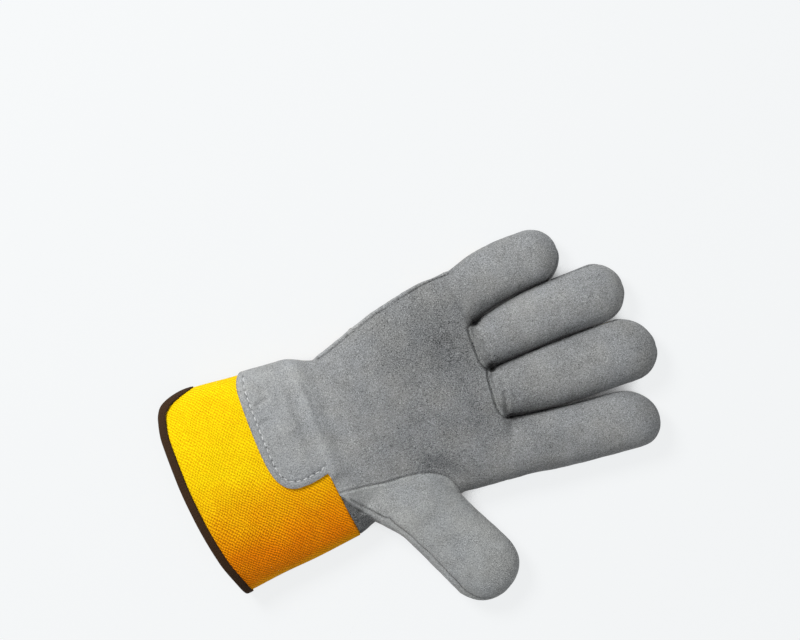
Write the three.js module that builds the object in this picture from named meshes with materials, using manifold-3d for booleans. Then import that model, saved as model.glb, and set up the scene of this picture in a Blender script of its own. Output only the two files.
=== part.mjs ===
// A split-leather work glove for the right hand, lying on its back with the palm up.
// Millimetres. +X runs from the cuff to the fingertips, +Y towards the little finger, +Z up.
// While it is modelled, X is 0 at the wrist seam, and Y is 0 between the middle and the ring finger.
import * as THREE from "three";
import { mergeVertices } from "three/addons/utils/BufferGeometryUtils.js";
import Module from "manifold-3d";

const wasm = await Module();
wasm.setup();

// Materials' thickness and the clearances between the pieces
const leatherWall = 1.4;
const cuffWall = 1.6;
const bindingWall = 0.9;
const seamGap = 0.3;
const fingerGap = 0.5;

// Lengths along the glove
const cuffLength = 78;
const handLength = 102;

// Heights of the filled-out glove, each from its own lowest line
const mouthHeight = 39;
const palmHeight = 25.5;

// The cuff's flare: how far its mouth stands out past the wrist on each side
const thumbSideFlare = 6.5;
const littleSideFlare = 8;

// The fingers, from the thumb's side. base is the width at the crotches, width the full one, and bend
// how far the tip curves sideways.
const fingers = {
  index: { length: 77.5, base: 33.4, width: 32, height: 21.5, bend: -7 },
  middle: { length: 90, base: 28, width: 34.4, height: 22, bend: -3 },
  ring: { length: 85.5, base: 25.8, width: 31.6, height: 21, bend: -0.5 },
  little: { length: 59.5, base: 32, width: 30.4, height: 19.5, bend: -0.5 },
};
const fullAt = 0.6; // share of a finger's length at which it reaches its full width
const rowShift = 1; // how far the full-width row of fingers leans towards the little finger

// The thumb
const thumbLength = 93;
const thumbWidth = 38.5;
const thumbHeight = 20.5;
const thumbTurn = THREE.MathUtils.degToRad(-67); // from +X, seen from above
const thumbRoot = { along: 0.29, across: -0.494 };
const thumbRootRise = 8.5; // how much higher the thumb's root lies than its tip
const thumbRootSpread = 0.22; // extra width at the root on the wrist's side, as a share of the width
const thumbSeamTilt = THREE.MathUtils.degToRad(11);

// Trims
const bindingWidth = 4.5;
const weltRadius = 1.2;
const strapWidth = 37;
const strapFromWrist = 37;
const capLengths = { little: 38, ring: 35, middle: 36 };
const capBow = 1; // how far a cap's edge bows towards the fingertip
const strapBow = 2;
const panelSeamBow = 1.5;
const patchStep = 3; // how far past the wrist seam the patch steps down to the palm

// The knuckle strap lies under the hand, so the cloth is a strap's thickness above the floor there.
const restRise = leatherWall + seamGap;

// Heights of the side seams above the floor, along the hand's two sides and along the fingers
const littleSeamHeight = 14.7;
const thumbSideSeamHeight = 10.6;
const fingerSeamHeight = 9.2;

// Half widths on the two sides of the middle line, at the crotches
const thumbHalf = fingerGap * 1.5 + fingers.middle.base + fingers.index.base;
const littleHalf = fingerGap * 1.5 + fingers.ring.base + fingers.little.base;

// Sections: at which share of its height a tube is widest, and how full its corners are
const widest = { hand: 0.44, finger: 0.42, thumb: 0.48 };
const fullness = { hand: 2.8, cuff: 2.5, finger: 2.3 };
// The glove's top falls away on the thumb's side, most of all at the cuff, and the widest line leans down
const falling = { cuff: 1.75, wrist: 1.75, knuckles: 2.5 };
const lean = { cuff: 5, hand: 1.6 };
const pressed = { hand: 1.3, thumb: 1.1 }; // how much of the underside is pressed flat

// Outline of the hand from the wrist seam to the crotches: shares of handLength, of each half width and
// of the palm's height
const handRows = [
  { along: 0, thumbSide: 0.938, littleSide: 0.785, height: 1.13 },
  { along: 0.07, thumbSide: 0.91, littleSide: 0.742, height: 1.08 },
  { along: 0.15, thumbSide: 0.866, littleSide: 0.7, height: 1.0 },
  { along: 0.22, thumbSide: 0.87, littleSide: 0.727, height: 1.04 },
  { along: 0.3, thumbSide: 0.875, littleSide: 0.768, height: 1.05 },
  { along: 0.42, thumbSide: 0.88, littleSide: 0.834, height: 1.04 },
  { along: 0.6, thumbSide: 0.918, littleSide: 0.91, height: 1.02 },
  { along: 0.76, thumbSide: 0.95, littleSide: 0.962, height: 0.99 },
  { along: 0.9, thumbSide: 0.98, littleSide: 0.985, height: 0.94 },
  { along: 0.965, thumbSide: 0.995, littleSide: 0.985, height: 0.9 },
  { along: 1.006, thumbSide: 1, littleSide: 0.985, height: 0.72 },
];
// Shallow dents in the palm leather: reach is a share of handLength, depth a share of palmHeight.
const dentRows = [
  { along: 0.78, across: 0.42, reach: 0.26, depth: 0.09 },
  { along: 0.55, across: -0.3, reach: 0.2, depth: 0.07 },
  { along: 0.12, across: 0.3, reach: 0.14, depth: 0.05 },
];
// The elastic at the back of the wrist draws the cloth in and gathers it
const gather = { along: 0.22, reach: 0.085, depth: 0.13, ruffle: 0.05 };

// Mouth of the cuff seen from above: across is a share of each half width, setback of cuffLength.
const mouthRows = [
  { across: -1.3, setback: 0.2 },
  { across: -1.03, setback: 0.125 },
  { across: -0.93, setback: 0.105 },
  { across: -0.68, setback: 0.055 },
  { across: -0.24, setback: 0.013 },
  { across: 0.1, setback: 0 },
  { across: 0.5, setback: 0.005 },
  { across: 0.72, setback: 0.035 },
  { across: 0.83, setback: 0.08 },
  { across: 0.9, setback: 0.14 },
  { across: 0.96, setback: 0.23 },
  { across: 1.2, setback: 0.33 },
];
// Wrist patch over the cuff, from the side seam round its corner to the wrist seam
const patchRows = [
  { along: -0.32, across: 1.15 },
  { along: -0.345, across: 0.84 },
  { along: -0.372, across: 0.76 },
  { along: -0.396, across: 0.65 },
  { along: -0.41, across: 0.48 },
  { along: -0.41, across: 0.085 },
  { along: -0.4, across: -0.08 },
  { along: -0.377, across: -0.21 },
  { along: -0.332, across: -0.29 },
  { along: -0.268, across: -0.34 },
  { along: -0.18, across: -0.36 },
  { along: -0.077, across: -0.344 },
  { along: 0.02, across: -0.32 },
];
// Seam of the thumb on the palm, from its point at the wrist to the side of the hand
const thumbSeamRows = [
  { along: 0.01, across: -0.52 },
  { along: 0.157, across: -0.55 },
  { along: 0.353, across: -0.592 },
  { along: 0.48, across: -0.635 },
  { along: 0.53, across: -0.675 },
  { along: 0.569, across: -0.724 },
  { along: 0.588, across: -0.772 },
  { along: 0.603, across: -0.836 },
  { along: 0.64, across: -0.97 },
];
// Edge of the yellow back beside the index finger, from the middle crotch to the side of the hand
const indexBackRows = [
  { along: 1.02, across: -0.463 },
  { along: 0.97, across: -0.5 },
  { along: 0.93, across: -0.62 },
  { along: 0.85, across: -0.76 },
  { along: 0.74, across: -0.88 },
  { along: 0.68, across: -1.1 },
];

const ringSides = { hand: 36, cuff: 32, finger: 18, thumb: 20 };
const fingerStations = [0, 0.1, 0.22, 0.38, fullAt, 0.74];
const tipTurns = [0, 22, 42, 60, 76].map(THREE.MathUtils.degToRad);
const farOut = 400;

// A place given in shares: along the cuff or the hand, and across on either side's half width
const place = ({ along, across }) =>
  new THREE.Vector2(
    along * (along < 0 ? cuffLength : handLength),
    across * (across < 0 ? thumbHalf : littleHalf),
  );

const smooth = (share) => THREE.MathUtils.smoothstep(share, 0, 1);

// Reads a table's column at a share along, with straight lines between its rows
function readRows(rows, column, along) {
  const last = rows.length - 1;
  const next = rows.findIndex((row) => row.along > along);
  if (next < 0) return rows[last][column];
  if (next === 0) return rows[0][column];
  const [a, b] = [rows[next - 1], rows[next]];
  const share = (along - a.along) / (b.along - a.along);
  return THREE.MathUtils.lerp(a[column], b[column], share);
}

// One section of a filled-out tube that lies on a table: full above, pressed flat below.
// It gives pairs of sideways place and height.
function tubeSection({ left, right, low, wide, high, sides, full, fall, flat, leaning = 0 }) {
  const middle = (left + right) / 2;
  const half = (left - right) / 2;
  return Array.from({ length: sides }, (_, i) => {
    const turn = (i / sides) * 2 * Math.PI;
    const [c, s] = [Math.cos(turn), Math.sin(turn)];
    const corner = s >= 0 && c < 0 ? fall ?? full : full;
    const sideways = Math.sign(c) * Math.abs(c) ** (2 / corner);
    const upright = Math.abs(s) ** (2 / corner);
    const widestAt = wide - (leaning * (1 - sideways)) / 2;
    const height = s >= 0
      ? widestAt + (high - widestAt) * upright
      : widestAt - (widestAt - low) * Math.min(1, (flat ?? pressed.hand) * upright);
    return { sideways: middle + half * sideways, height };
  });
}

// A closed solid through rings that have the same number of points and run anticlockwise seen from ahead
function loft(rings) {
  const sides = rings[0].length;
  const points = rings.flat();
  const middle = (ring) =>
    ring.reduce((sum, p) => sum.clone().add(p), new THREE.Vector3()).divideScalar(sides);
  const tail = points.push(middle(rings[0])) - 1;
  const nose = points.push(middle(rings.at(-1))) - 1;
  const faces = [];
  for (let i = 0; i < sides; i++) {
    const j = (i + 1) % sides;
    faces.push(tail, j, i);
    for (let r = 0; r < rings.length - 1; r++) {
      const [a, b] = [r * sides, (r + 1) * sides];
      faces.push(a + i, a + j, b + j, a + i, b + j, b + i);
    }
    const end = (rings.length - 1) * sides;
    faces.push(nose, end + i, end + j);
  }
  const geometry = new THREE.BufferGeometry().setFromPoints(points);
  geometry.setIndex(faces);
  return toSolid(geometry);
}

// A three.js geometry as a manifold solid, and a solid as a named mesh
function toSolid(geometry) {
  const bare = new THREE.BufferGeometry();
  bare.setAttribute("position", geometry.getAttribute("position"));
  bare.setIndex(geometry.index);
  const merged = mergeVertices(bare, 1e-4);
  return new wasm.Manifold(new wasm.Mesh({
    numProp: 3,
    vertProperties: new Float32Array(merged.attributes.position.array),
    triVerts: new Uint32Array(merged.index.array),
  }));
}

function toMesh(name, solid, material) {
  const { numProp, vertProperties, triVerts } = solid.getMesh();
  const corners = Array.from({ length: vertProperties.length / numProp }, (_, i) =>
    new THREE.Vector3().fromArray(vertProperties, i * numProp));
  const geometry = new THREE.BufferGeometry().setFromPoints(corners);
  geometry.setIndex(Array.from(triVerts));
  geometry.computeVertexNormals();
  const mesh = new THREE.Mesh(geometry, material);
  mesh.name = name;
  return mesh;
}

// An upright prism over an outline seen from above
function prism(outline, low = -farOut, high = farOut) {
  const geometry = new THREE.ExtrudeGeometry(new THREE.Shape(outline), {
    depth: high - low,
    bevelEnabled: false,
  });
  return toSolid(geometry.translate(0, 0, low));
}

// An outline or a line moved sideways, to the left of its running direction
function shifted(line, distance, closed = false) {
  const count = line.length;
  const at = (i) => line[closed ? (i + count) % count : THREE.MathUtils.clamp(i, 0, count - 1)];
  return line.map((p, i) => {
    const ahead = at(i + 1).clone().sub(p).normalize();
    const behind = p.clone().sub(at(i - 1)).normalize();
    const way = ahead.clone().add(behind).normalize();
    const miter = Math.max(0.5, Math.abs(way.dot(ahead.lengthSq() ? ahead : behind)));
    return new THREE.Vector2(p.x - (way.y * distance) / miter, p.y + (way.x * distance) / miter);
  });
}

// Where a finger's middle line and edges run. share goes from the crotch, 0, to the tip, 1.
function fingerPlan(name) {
  const order = ["index", "middle", "ring", "little"];
  const side = order.indexOf(name) < 2 ? -1 : 1;
  const inner = side < 0 ? "middle" : "ring";
  const size = fingers[name];
  const steps = name === inner ? 0 : 1;
  const reach = (column) =>
    side * (fingerGap * (0.5 + steps) + steps * fingers[inner][column] + size[column] / 2);
  const swing = (share) => 1 - Math.max(0, 1 - share / fullAt) ** 2;
  const straight = (share) =>
    THREE.MathUtils.lerp(reach("base"), reach("width") + rowShift, swing(share));
  return {
    size,
    centre: (share) => straight(share) + size.bend * share * share,
    half: (share) => THREE.MathUtils.lerp(size.base, size.width, swing(share)) / 2,
  };
}

// A finger's tube, grown on all sides, with a round tip
function fingerForm(name, grow) {
  const { size, centre, half } = fingerPlan(name);
  const tipLength = size.width / 2;
  const roundFrom = 1 - tipLength / size.length;
  const inPalm = -0.16;
  const station = (share, shrink) => {
    const tuck = 1 + 0.75 * Math.min(0, share); // narrower inside the palm, to stay under its skin
    const reach = half(Math.max(0, share)) * tuck + grow;
    const middle = centre(Math.max(0, share));
    const low = restRise * (1 - smooth(share / 0.3));
    const high = low + size.height * tuck;
    const wide = low + size.height * widest.finger;
    const section = tubeSection({
      left: middle + reach * shrink,
      right: middle - reach * shrink,
      low: wide - (wide - low + grow) * shrink,
      wide,
      high: wide + (high - wide + grow) * shrink,
      sides: ringSides.finger,
      full: fullness.finger,
    });
    return section.map((p) => new THREE.Vector3(0, p.sideways, p.height));
  };
  const rings = [inPalm, ...fingerStations.filter((share) => share < roundFrom)].map((share) =>
    station(share, 1).map((p) => p.setX(handLength + share * size.length)));
  for (const turn of tipTurns) {
    const x = handLength + roundFrom * size.length + (tipLength + grow) * Math.sin(turn);
    const share = (x - handLength) / size.length;
    rings.push(station(share, Math.cos(turn)).map((p) => p.setX(x)));
  }
  return loft(rings);
}

// The thumb's tube, from inside the palm down to its tip
function thumbForm(grow) {
  const root = place(thumbRoot);
  const way = new THREE.Vector2(Math.cos(thumbTurn), Math.sin(thumbTurn));
  const half = thumbWidth / 2 + grow;
  const roundFrom = thumbLength - thumbWidth / 2;
  const station = (run, shrink) => {
    const share = run / thumbLength;
    const lift = thumbRootRise * (1 - share);
    const wide = lift + thumbHeight * widest.thumb;
    const tuck = 1 - 0.24 * smooth(1 - share * 3.2); // lower inside the palm, to stay under its skin
    const spread = thumbWidth * thumbRootSpread * smooth(1 - share * 2.6);
    const section = tubeSection({
      left: half * shrink,
      right: -(half + spread) * shrink,
      low: wide - (wide - lift + grow) * shrink,
      wide,
      high: wide + (lift + thumbHeight * tuck - wide + grow) * shrink,
      sides: ringSides.thumb,
      full: fullness.finger,
      flat: pressed.thumb,
    });
    return section.map((p) => new THREE.Vector3(
      root.x + way.x * run - way.y * p.sideways,
      root.y + way.y * run + way.x * p.sideways,
      p.height,
    ));
  };
  const rootRun = 0.07;
  const rings = [rootRun, 0.2, 0.32, 0.46, 0.62].map((share) => station(share * thumbLength, 1));
  for (const turn of tipTurns)
    rings.push(station(roundFrom + (thumbWidth / 2 + grow) * Math.sin(turn), Math.cos(turn)));
  return loft(rings);
}

// One ring of the hand between the wrist seam and the crotches, with the palm's dents above and the
// elastic's gathers below
function handRing(x, grow) {
  const along = THREE.MathUtils.clamp(x / handLength, 0, handRows.at(-1).along);
  const high = restRise + palmHeight * readRows(handRows, "height", along);
  const wide = restRise + palmHeight * widest.hand;
  const section = tubeSection({
    left: littleHalf * readRows(handRows, "littleSide", along) + grow,
    right: -thumbHalf * readRows(handRows, "thumbSide", along) - grow,
    low: restRise - grow,
    wide,
    high: high + grow,
    sides: ringSides.hand,
    full: fullness.hand,
    fall: THREE.MathUtils.lerp(falling.wrist, falling.knuckles, along),
    leaning: lean.hand,
  });
  return section.map(({ sideways, height }, i) => {
    let z = height;
    const above = THREE.MathUtils.clamp((height - wide) / (high - wide), 0, 1);
    for (const dent of dentRows) {
      const spot = place(dent);
      const far = Math.hypot(x - spot.x, sideways - spot.y) / (dent.reach * handLength);
      z -= above * dent.depth * palmHeight * Math.exp(-far * far);
    }
    const below = THREE.MathUtils.clamp((wide - height) / (wide - restRise), 0, 1);
    const far = (x / handLength - gather.along) / gather.reach;
    const drawn = gather.depth + gather.ruffle * (i % 2 ? 1 : -1);
    z += smooth(below) * drawn * palmHeight * Math.exp(-far * far);
    return new THREE.Vector3(x, sideways, z);
  });
}

function handForm(grow, start) {
  const rows = handRows.map((row) => row.along * handLength);
  const end = rows.at(-1) + grow;
  const stations = [start, ...rows.filter((x) => x > start + 1 && x < end - 1), end];
  return loft(stations.map((x) => handRing(x, grow)));
}

// The cuff: a cone that fits the wrist, open at both ends once it is hollowed
function cuffForm(grow, start, end) {
  const wristRow = handRows[0];
  return loft([start, (start + end) / 2, end].map((x) => {
    const share = -x / cuffLength;
    const high = restRise + THREE.MathUtils.lerp(palmHeight * wristRow.height, mouthHeight, share);
    const section = tubeSection({
      left: littleHalf * wristRow.littleSide + littleSideFlare * share + grow,
      right: -thumbHalf * wristRow.thumbSide - thumbSideFlare * share - grow,
      low: restRise - grow,
      wide: restRise + THREE.MathUtils.lerp(palmHeight, mouthHeight, share * 0.6) * widest.hand,
      high: high + grow,
      sides: ringSides.cuff,
      full: THREE.MathUtils.lerp(fullness.hand, fullness.cuff, Math.min(1, share)),
      fall: THREE.MathUtils.lerp(falling.wrist, falling.cuff, Math.min(1, share)),
      leaning: THREE.MathUtils.lerp(lean.hand, lean.cuff, Math.min(1, share)),
    });
    return section.map((p) => new THREE.Vector3(x, p.sideways, p.height));
  }));
}

// Space above or below the side seams. They run lower along the fingers than along the palm.
function besideSeam(way, shift = 0) {
  const heights = [
    [-farOut, littleSeamHeight, thumbSideSeamHeight],
    [handLength * 0.6, littleSeamHeight, thumbSideSeamHeight],
    [handLength * 0.97, fingerSeamHeight, fingerSeamHeight],
    [farOut, fingerSeamHeight, fingerSeamHeight],
  ];
  const rings = heights.map(([x, little, thumb]) => {
    const slope = (little - thumb) / (littleHalf + thumbHalf);
    const level = (y) => thumb + slope * (y + thumbHalf) + (way * seamGap) / 2 + shift;
    const across = [2.4, 1.1, 0.8, 0.4, 0, -0.4, -0.8, -1.1, -2.4].map((share) => share * littleHalf);
    const sheet = across.map((y) => new THREE.Vector3(x, y, level(y)));
    const far = sheet.map((p) => p.clone().setZ(way * farOut)).reverse();
    const ring = [...sheet, ...far];
    return way > 0 ? ring.reverse() : ring;
  });
  return loft(rings);
}

// Space above or below the thumb's seam, which tips down from the wrist's side to the fingers' side
function besideThumbSeam(way) {
  const root = place(thumbRoot);
  const block = new THREE.BoxGeometry(farOut, farOut, farOut);
  block.translate(0, 0, (way * (farOut + seamGap)) / 2);
  block.rotateX(-thumbSeamTilt);
  block.rotateY(Math.atan2(thumbRootRise, thumbLength));
  block.rotateZ(thumbTurn);
  block.translate(root.x, root.y, thumbRootRise + thumbHeight * 0.5);
  return toSolid(block);
}

const joined = (...solids) => solids.reduce((whole, next) => whole.add(next));
const spline = (rows, count) => new THREE.SplineCurve(rows.map(place)).getPoints(count);

// The whole hand as one skin: palm, fingers and thumb
const everyFinger = (grow) => Object.keys(fingers).map((name) => fingerForm(name, grow));
const wholeHand = (grow, start) => joined(handForm(grow, start), ...everyFinger(grow), thumbForm(grow));
const handOuter = wholeHand(0, seamGap / 2);
const handInner = wholeHand(-leatherWall, -leatherWall);
const handSkin = handOuter.subtract(handInner);
const above = besideSeam(1);
const below = besideSeam(-1);

// Regions of that skin, seen from above. Each neighbour is cut by the same outline moved out by the gap.
const crotchX = handLength * 0.975;
const besideFinger = (name, side) => {
  const plan = fingerPlan(name);
  return [0.06, 0.2, 0.4, 0.6, 1.1].map((share) => new THREE.Vector2(
    handLength + share * plan.size.length,
    plan.centre(share) + side * (plan.half(share) + fingerGap / 2),
  ));
};
const panelOutline = (() => {
  const left = fingerPlan("ring");
  const right = fingerPlan("middle");
  return [
    ...besideFinger("ring", 1).reverse(),
    new THREE.Vector2(crotchX, left.centre(0) + left.half(0)),
    new THREE.Vector2(crotchX - panelSeamBow, left.centre(0)),
    new THREE.Vector2(crotchX, 0),
    new THREE.Vector2(crotchX - panelSeamBow, right.centre(0)),
    new THREE.Vector2(crotchX, right.centre(0) - right.half(0)),
    ...besideFinger("middle", -1),
  ];
})();

const thumbSeam = spline(thumbSeamRows, 14);
const thumbOutline = (() => {
  const root = place(thumbRoot);
  const way = new THREE.Vector2(Math.cos(thumbTurn), Math.sin(thumbTurn));
  const beside = (run, side) => new THREE.Vector2(
    root.x + way.x * run - way.y * side,
    root.y + way.y * run + way.x * side,
  );
  const margin = 6;
  return [
    ...thumbSeam,
    beside(thumbLength * 0.5, thumbWidth / 2 + margin),
    beside(thumbLength + margin, thumbWidth / 2 + margin),
    beside(thumbLength + margin, -thumbWidth / 2 - margin),
    beside(thumbLength * 0.5, -thumbWidth / 2 - margin),
    beside(thumbLength * 0.2, -thumbWidth / 2 - 1),
  ];
})();

const thumbSideLine = handRows
  .filter((row) => row.along > 0.02)
  .map((row) => new THREE.Vector2(row.along * handLength, -thumbHalf * row.thumbSide - seamGap / 2));
const besideHandOutline = (grow) => [
  ...shifted(thumbSideLine, grow),
  new THREE.Vector2(thumbSideLine.at(-1).x + grow, -farOut),
  new THREE.Vector2(thumbSideLine[0].x - grow, -farOut),
];

const indexBackLine = spline(indexBackRows, 12);
const indexBackOutline = (grow) => [
  ...shifted(indexBackLine, -grow),
  new THREE.Vector2(handLength * 0.5, -farOut),
  new THREE.Vector2(farOut, -farOut),
  ...besideFinger("index", 1).reverse(),
];

// The thumb's halves meet the hand along its side and along the seam on the palm.
const besideHand = (grow) => prism(besideHandOutline(grow));
const thumbBackRoom = besideHand(-seamGap).intersect(besideThumbSeam(-1));
const thumbFrontRoom = (grow) =>
  prism(shifted(thumbOutline, grow, true))
    .intersect(besideSeam(1, seamGap / 2 - grow))
    .subtract(besideHand(0).intersect(besideThumbSeam(-1).translate([0, 0, seamGap / 2 - grow])));

// A band across the glove between two places along it, its far edge bowed towards the fingertips
const bandAcross = (from, to, bow, left, right) => {
  const steps = [0, 0.25, 0.5, 0.75, 1];
  const edge = (x) => steps.map((share) =>
    new THREE.Vector2(x + bow * Math.sin(share * Math.PI), THREE.MathUtils.lerp(left, right, share)));
  return prism([...edge(to), ...edge(from).reverse()].reverse());
};

// The single closed body that a piece is, without crumbs from the cuts
const onePiece = (solid) => solid.decompose().sort((a, b) => b.volume() - a.volume())[0];

// Caps on the backs of three fingertips
const capNames = ["little", "ring", "middle"];
const capRoom = (name, grow) => {
  const plan = fingerPlan(name);
  const start = handLength + plan.size.length - capLengths[name] - grow;
  const spread = plan.size.width * 0.5 + fingerGap;
  return bandAcross(start, farOut, capBow, plan.centre(0.8) - spread, plan.centre(0.8) + spread);
};

// The cuff and its binding, with the mouth cut to its curve
const mouthLine = new THREE.SplineCurve(mouthRows.map(({ across, setback }) =>
  new THREE.Vector2(
    (setback - 1) * cuffLength,
    across * (across < 0 ? thumbHalf : littleHalf),
  ))).getPoints(22);
const behindMouth = (setback) => prism([
  ...shifted(mouthLine, -setback),
  new THREE.Vector2(farOut, farOut),
  new THREE.Vector2(farOut, -farOut),
]);
const cuffEnd = -seamGap / 2;
const cuffStart = -cuffLength * 1.1;
const cuffSolid = (grow) => cuffForm(grow, cuffStart, cuffEnd);
const cuff = cuffSolid(0)
  .subtract(cuffForm(-cuffWall, cuffStart - 1, cuffEnd + 1))
  .intersect(behindMouth(bindingWall + seamGap));
const bindingReach = seamGap + bindingWall;
const bindingRoom = behindMouth(0).subtract(behindMouth(bindingWidth));
const binding = cuffSolid(bindingReach)
  .subtract(cuffForm(-cuffWall - bindingReach, cuffStart - 1, cuffEnd + 1))
  .intersect(bindingRoom)
  .subtract(cuffSolid(seamGap)
    .subtract(cuffForm(-cuffWall - seamGap, cuffStart - 1, cuffEnd + 1))
    .intersect(behindMouth(bindingWall)));

// The wrist patch is one piece with the palm. It steps up over the end of the cuff.
const patch = cuffForm(seamGap + leatherWall, -cuffLength * 0.6, patchStep)
  .intersect(prism([
    ...spline(patchRows, 26),
    new THREE.Vector2(patchStep * 2, -thumbHalf * 0.3),
    new THREE.Vector2(patchStep * 2, littleHalf * 1.2),
  ]))
  .subtract(cuffForm(seamGap, -cuffLength, seamGap / 2))
  .subtract(handInner);

const palmSkin = joined(handSkin.intersect(above), patch.intersect(above));
const panelRoom = (grow) => prism(shifted(panelOutline, -grow, true));
const palm = palmSkin
  .subtract(panelRoom(seamGap))
  .subtract(thumbFrontRoom(seamGap))
  .subtract(besideHand(0));
const fingerPanel = handSkin.intersect(above).intersect(panelRoom(0));

const backSkin = handSkin.intersect(below).subtract(besideHand(0));
const indexBack = backSkin.intersect(prism(indexBackOutline(0)));
const back = capNames.reduce(
  (cloth, name) => cloth.subtract(capRoom(name, seamGap)),
  backSkin.subtract(prism(indexBackOutline(seamGap))),
);
const caps = capNames.map((name) => [`fingertip_${name}`, backSkin.intersect(capRoom(name, 0))]);

const thumbFront = handSkin.intersect(thumbFrontRoom(0));
const thumbBack = handSkin.intersect(thumbBackRoom);

const strapEnd = strapFromWrist + strapWidth;
const strapInner = -thumbHalf * 0.86;
const strap = handForm(seamGap + leatherWall, 1)
  .subtract(joined(handForm(seamGap, 0), thumbForm(seamGap)))
  .intersect(below.translate([0, 0, -weltRadius - seamGap]))
  .intersect(bandAcross(strapFromWrist, strapEnd, strapBow, strapInner, farOut));

// The welt follows the side of the hand at the height of its seam
const weltLine = new THREE.CatmullRomCurve3(handRows.slice(2, -1).map((row) => new THREE.Vector3(
  row.along * handLength,
  littleHalf * row.littleSide + seamGap + weltRadius,
  littleSeamHeight,
)));
const welt = toSolid(new THREE.ExtrudeGeometry(
  new THREE.Shape(new THREE.EllipseCurve(0, 0, weltRadius, weltRadius).getPoints(8).slice(1)),
  { steps: 16, extrudePath: weltLine, bevelEnabled: false },
));

const leather = new THREE.MeshStandardMaterial({ color: 0x7b7e7f, roughness: 0.95 });
const canvas = new THREE.MeshStandardMaterial({ color: 0xe7a70a, roughness: 0.9 });
const tape = new THREE.MeshStandardMaterial({ color: 0x2a1c15, roughness: 0.85 });

const pieces = [
  ["cuff", cuff, canvas],
  ["cuff_binding", binding, tape],
  ["palm", palm, leather],
  ["finger_panel", fingerPanel, leather],
  ["back", back, canvas],
  ["knuckle_strap", strap, leather],
  ["index_back", indexBack, leather],
  ...caps.map(([name, solid]) => [name, solid, leather]),
  ["thumb_front", thumbFront, leather],
  ["thumb_back", thumbBack, leather],
  ["side_welt", welt, leather],
];

const glove = new THREE.Group();
glove.name = "split_leather_glove";
for (const [name, solid, material] of pieces) glove.add(toMesh(name, onePiece(solid), material));

// The origin goes to the middle of the footprint, on the floor.
const box = new THREE.Box3().setFromObject(glove);
const middle = box.getCenter(new THREE.Vector3());
for (const mesh of glove.children) mesh.geometry.translate(-middle.x, -middle.y, -box.min.z);

export default glove;
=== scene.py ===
"""A split leather work glove for the right hand, lying on its back with the palm up.

The glove's form is drawn in millimetres: X runs from the wrist seam to the fingertips, Y from between the
middle and the ring finger towards the little finger, Z up. The finished pieces are in metres, in the
part's own frame.
"""

import math
from functools import cache

import bmesh
import bpy
import numpy as np
from bpy.props import FloatProperty, FloatVectorProperty, PointerProperty
from mathutils import Matrix, Vector
from mathutils.bvhtree import BVHTree


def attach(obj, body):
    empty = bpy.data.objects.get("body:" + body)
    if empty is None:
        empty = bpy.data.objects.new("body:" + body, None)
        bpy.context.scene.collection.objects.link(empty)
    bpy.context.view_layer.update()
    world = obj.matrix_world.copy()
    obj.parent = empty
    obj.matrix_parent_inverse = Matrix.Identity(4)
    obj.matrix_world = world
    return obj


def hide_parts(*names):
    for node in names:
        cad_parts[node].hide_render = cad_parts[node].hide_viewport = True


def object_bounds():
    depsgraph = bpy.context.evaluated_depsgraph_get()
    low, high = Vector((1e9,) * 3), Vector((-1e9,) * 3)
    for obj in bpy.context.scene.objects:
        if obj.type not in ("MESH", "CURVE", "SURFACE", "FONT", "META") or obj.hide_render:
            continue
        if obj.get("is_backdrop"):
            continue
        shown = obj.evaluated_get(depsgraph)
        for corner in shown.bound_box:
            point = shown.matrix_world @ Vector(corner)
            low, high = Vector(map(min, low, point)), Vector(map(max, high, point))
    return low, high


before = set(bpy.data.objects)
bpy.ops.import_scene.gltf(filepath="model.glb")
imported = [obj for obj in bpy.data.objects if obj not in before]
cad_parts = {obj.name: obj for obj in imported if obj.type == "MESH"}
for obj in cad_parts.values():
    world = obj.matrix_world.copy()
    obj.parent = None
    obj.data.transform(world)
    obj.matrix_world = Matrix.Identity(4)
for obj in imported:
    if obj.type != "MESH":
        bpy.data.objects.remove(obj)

bl_info = {
    "name": "Split Leather Glove",
    "version": (1, 0, 0),
    "blender": (4, 5, 0),
    "location": "View3D > Sidebar > Glove",
    "description": "Sews a split leather work glove with a cloth back and a canvas cuff",
    "category": "Object",
}

MM = 0.001
MIDDLE = np.array((56.7372, -27.0629, 0.0))  # the part's origin, in the drawing
CAD_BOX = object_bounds()

CUFF_LENGTH = 78.0
HAND_LENGTH = 102.0
MOUTH_HEIGHT = 39.0
PALM_HEIGHT = 25.5
THUMB_FLARE = 6.5
LITTLE_FLARE = 8.0
REST_RISE = 1.7
FINGER_GAP = 0.5
FULL_AT = 0.6  # share of a finger's length at which it reaches its full width
ROW_SHIFT = 1.0
SEAM_GAP = 0.03
PANEL_GAP = 0.02
CLOTH_GAP = 0.22
TABLE_GAP = 0.00003
CAP_BOW = 1.1
CAP_INSET = 3.6  # from a cap's edge to its row of stitches
STRAP_START = 37.0
STRAP_WIDTH = 37.0
STRAP_TOP = 10.4
STRAP_INSET = 3.2
WELT_START, WELT_END = 0.09, 1.03  # shares of the hand's length

FINGERS = {
    "index": {"length": 77.5, "base": 33.4, "width": 32.0, "height": 21.5, "bend": -7.0},
    "middle": {"length": 90.0, "base": 28.0, "width": 34.4, "height": 22.0, "bend": -3.0},
    "ring": {"length": 85.5, "base": 25.8, "width": 31.6, "height": 21.0, "bend": -0.5},
    "little": {"length": 59.5, "base": 32.0, "width": 30.4, "height": 19.5, "bend": -0.5},
}
CAPS = {"little": 38.0, "ring": 35.0, "middle": 36.0}
NEIGHBOURS = (("index", "middle"), ("middle", "ring"), ("ring", "little"))

THUMB_LENGTH = 93.0
THUMB_WIDTH = 38.5
THUMB_HEIGHT = 20.5
THUMB_TURN = math.radians(-67)
THUMB_ROOT_RISE = 8.5
THUMB_ROOT_SPREAD = 0.22
THUMB_SEAM_TILT = math.radians(-11)
THUMB_SEAM_RISE = 3.3

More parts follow.
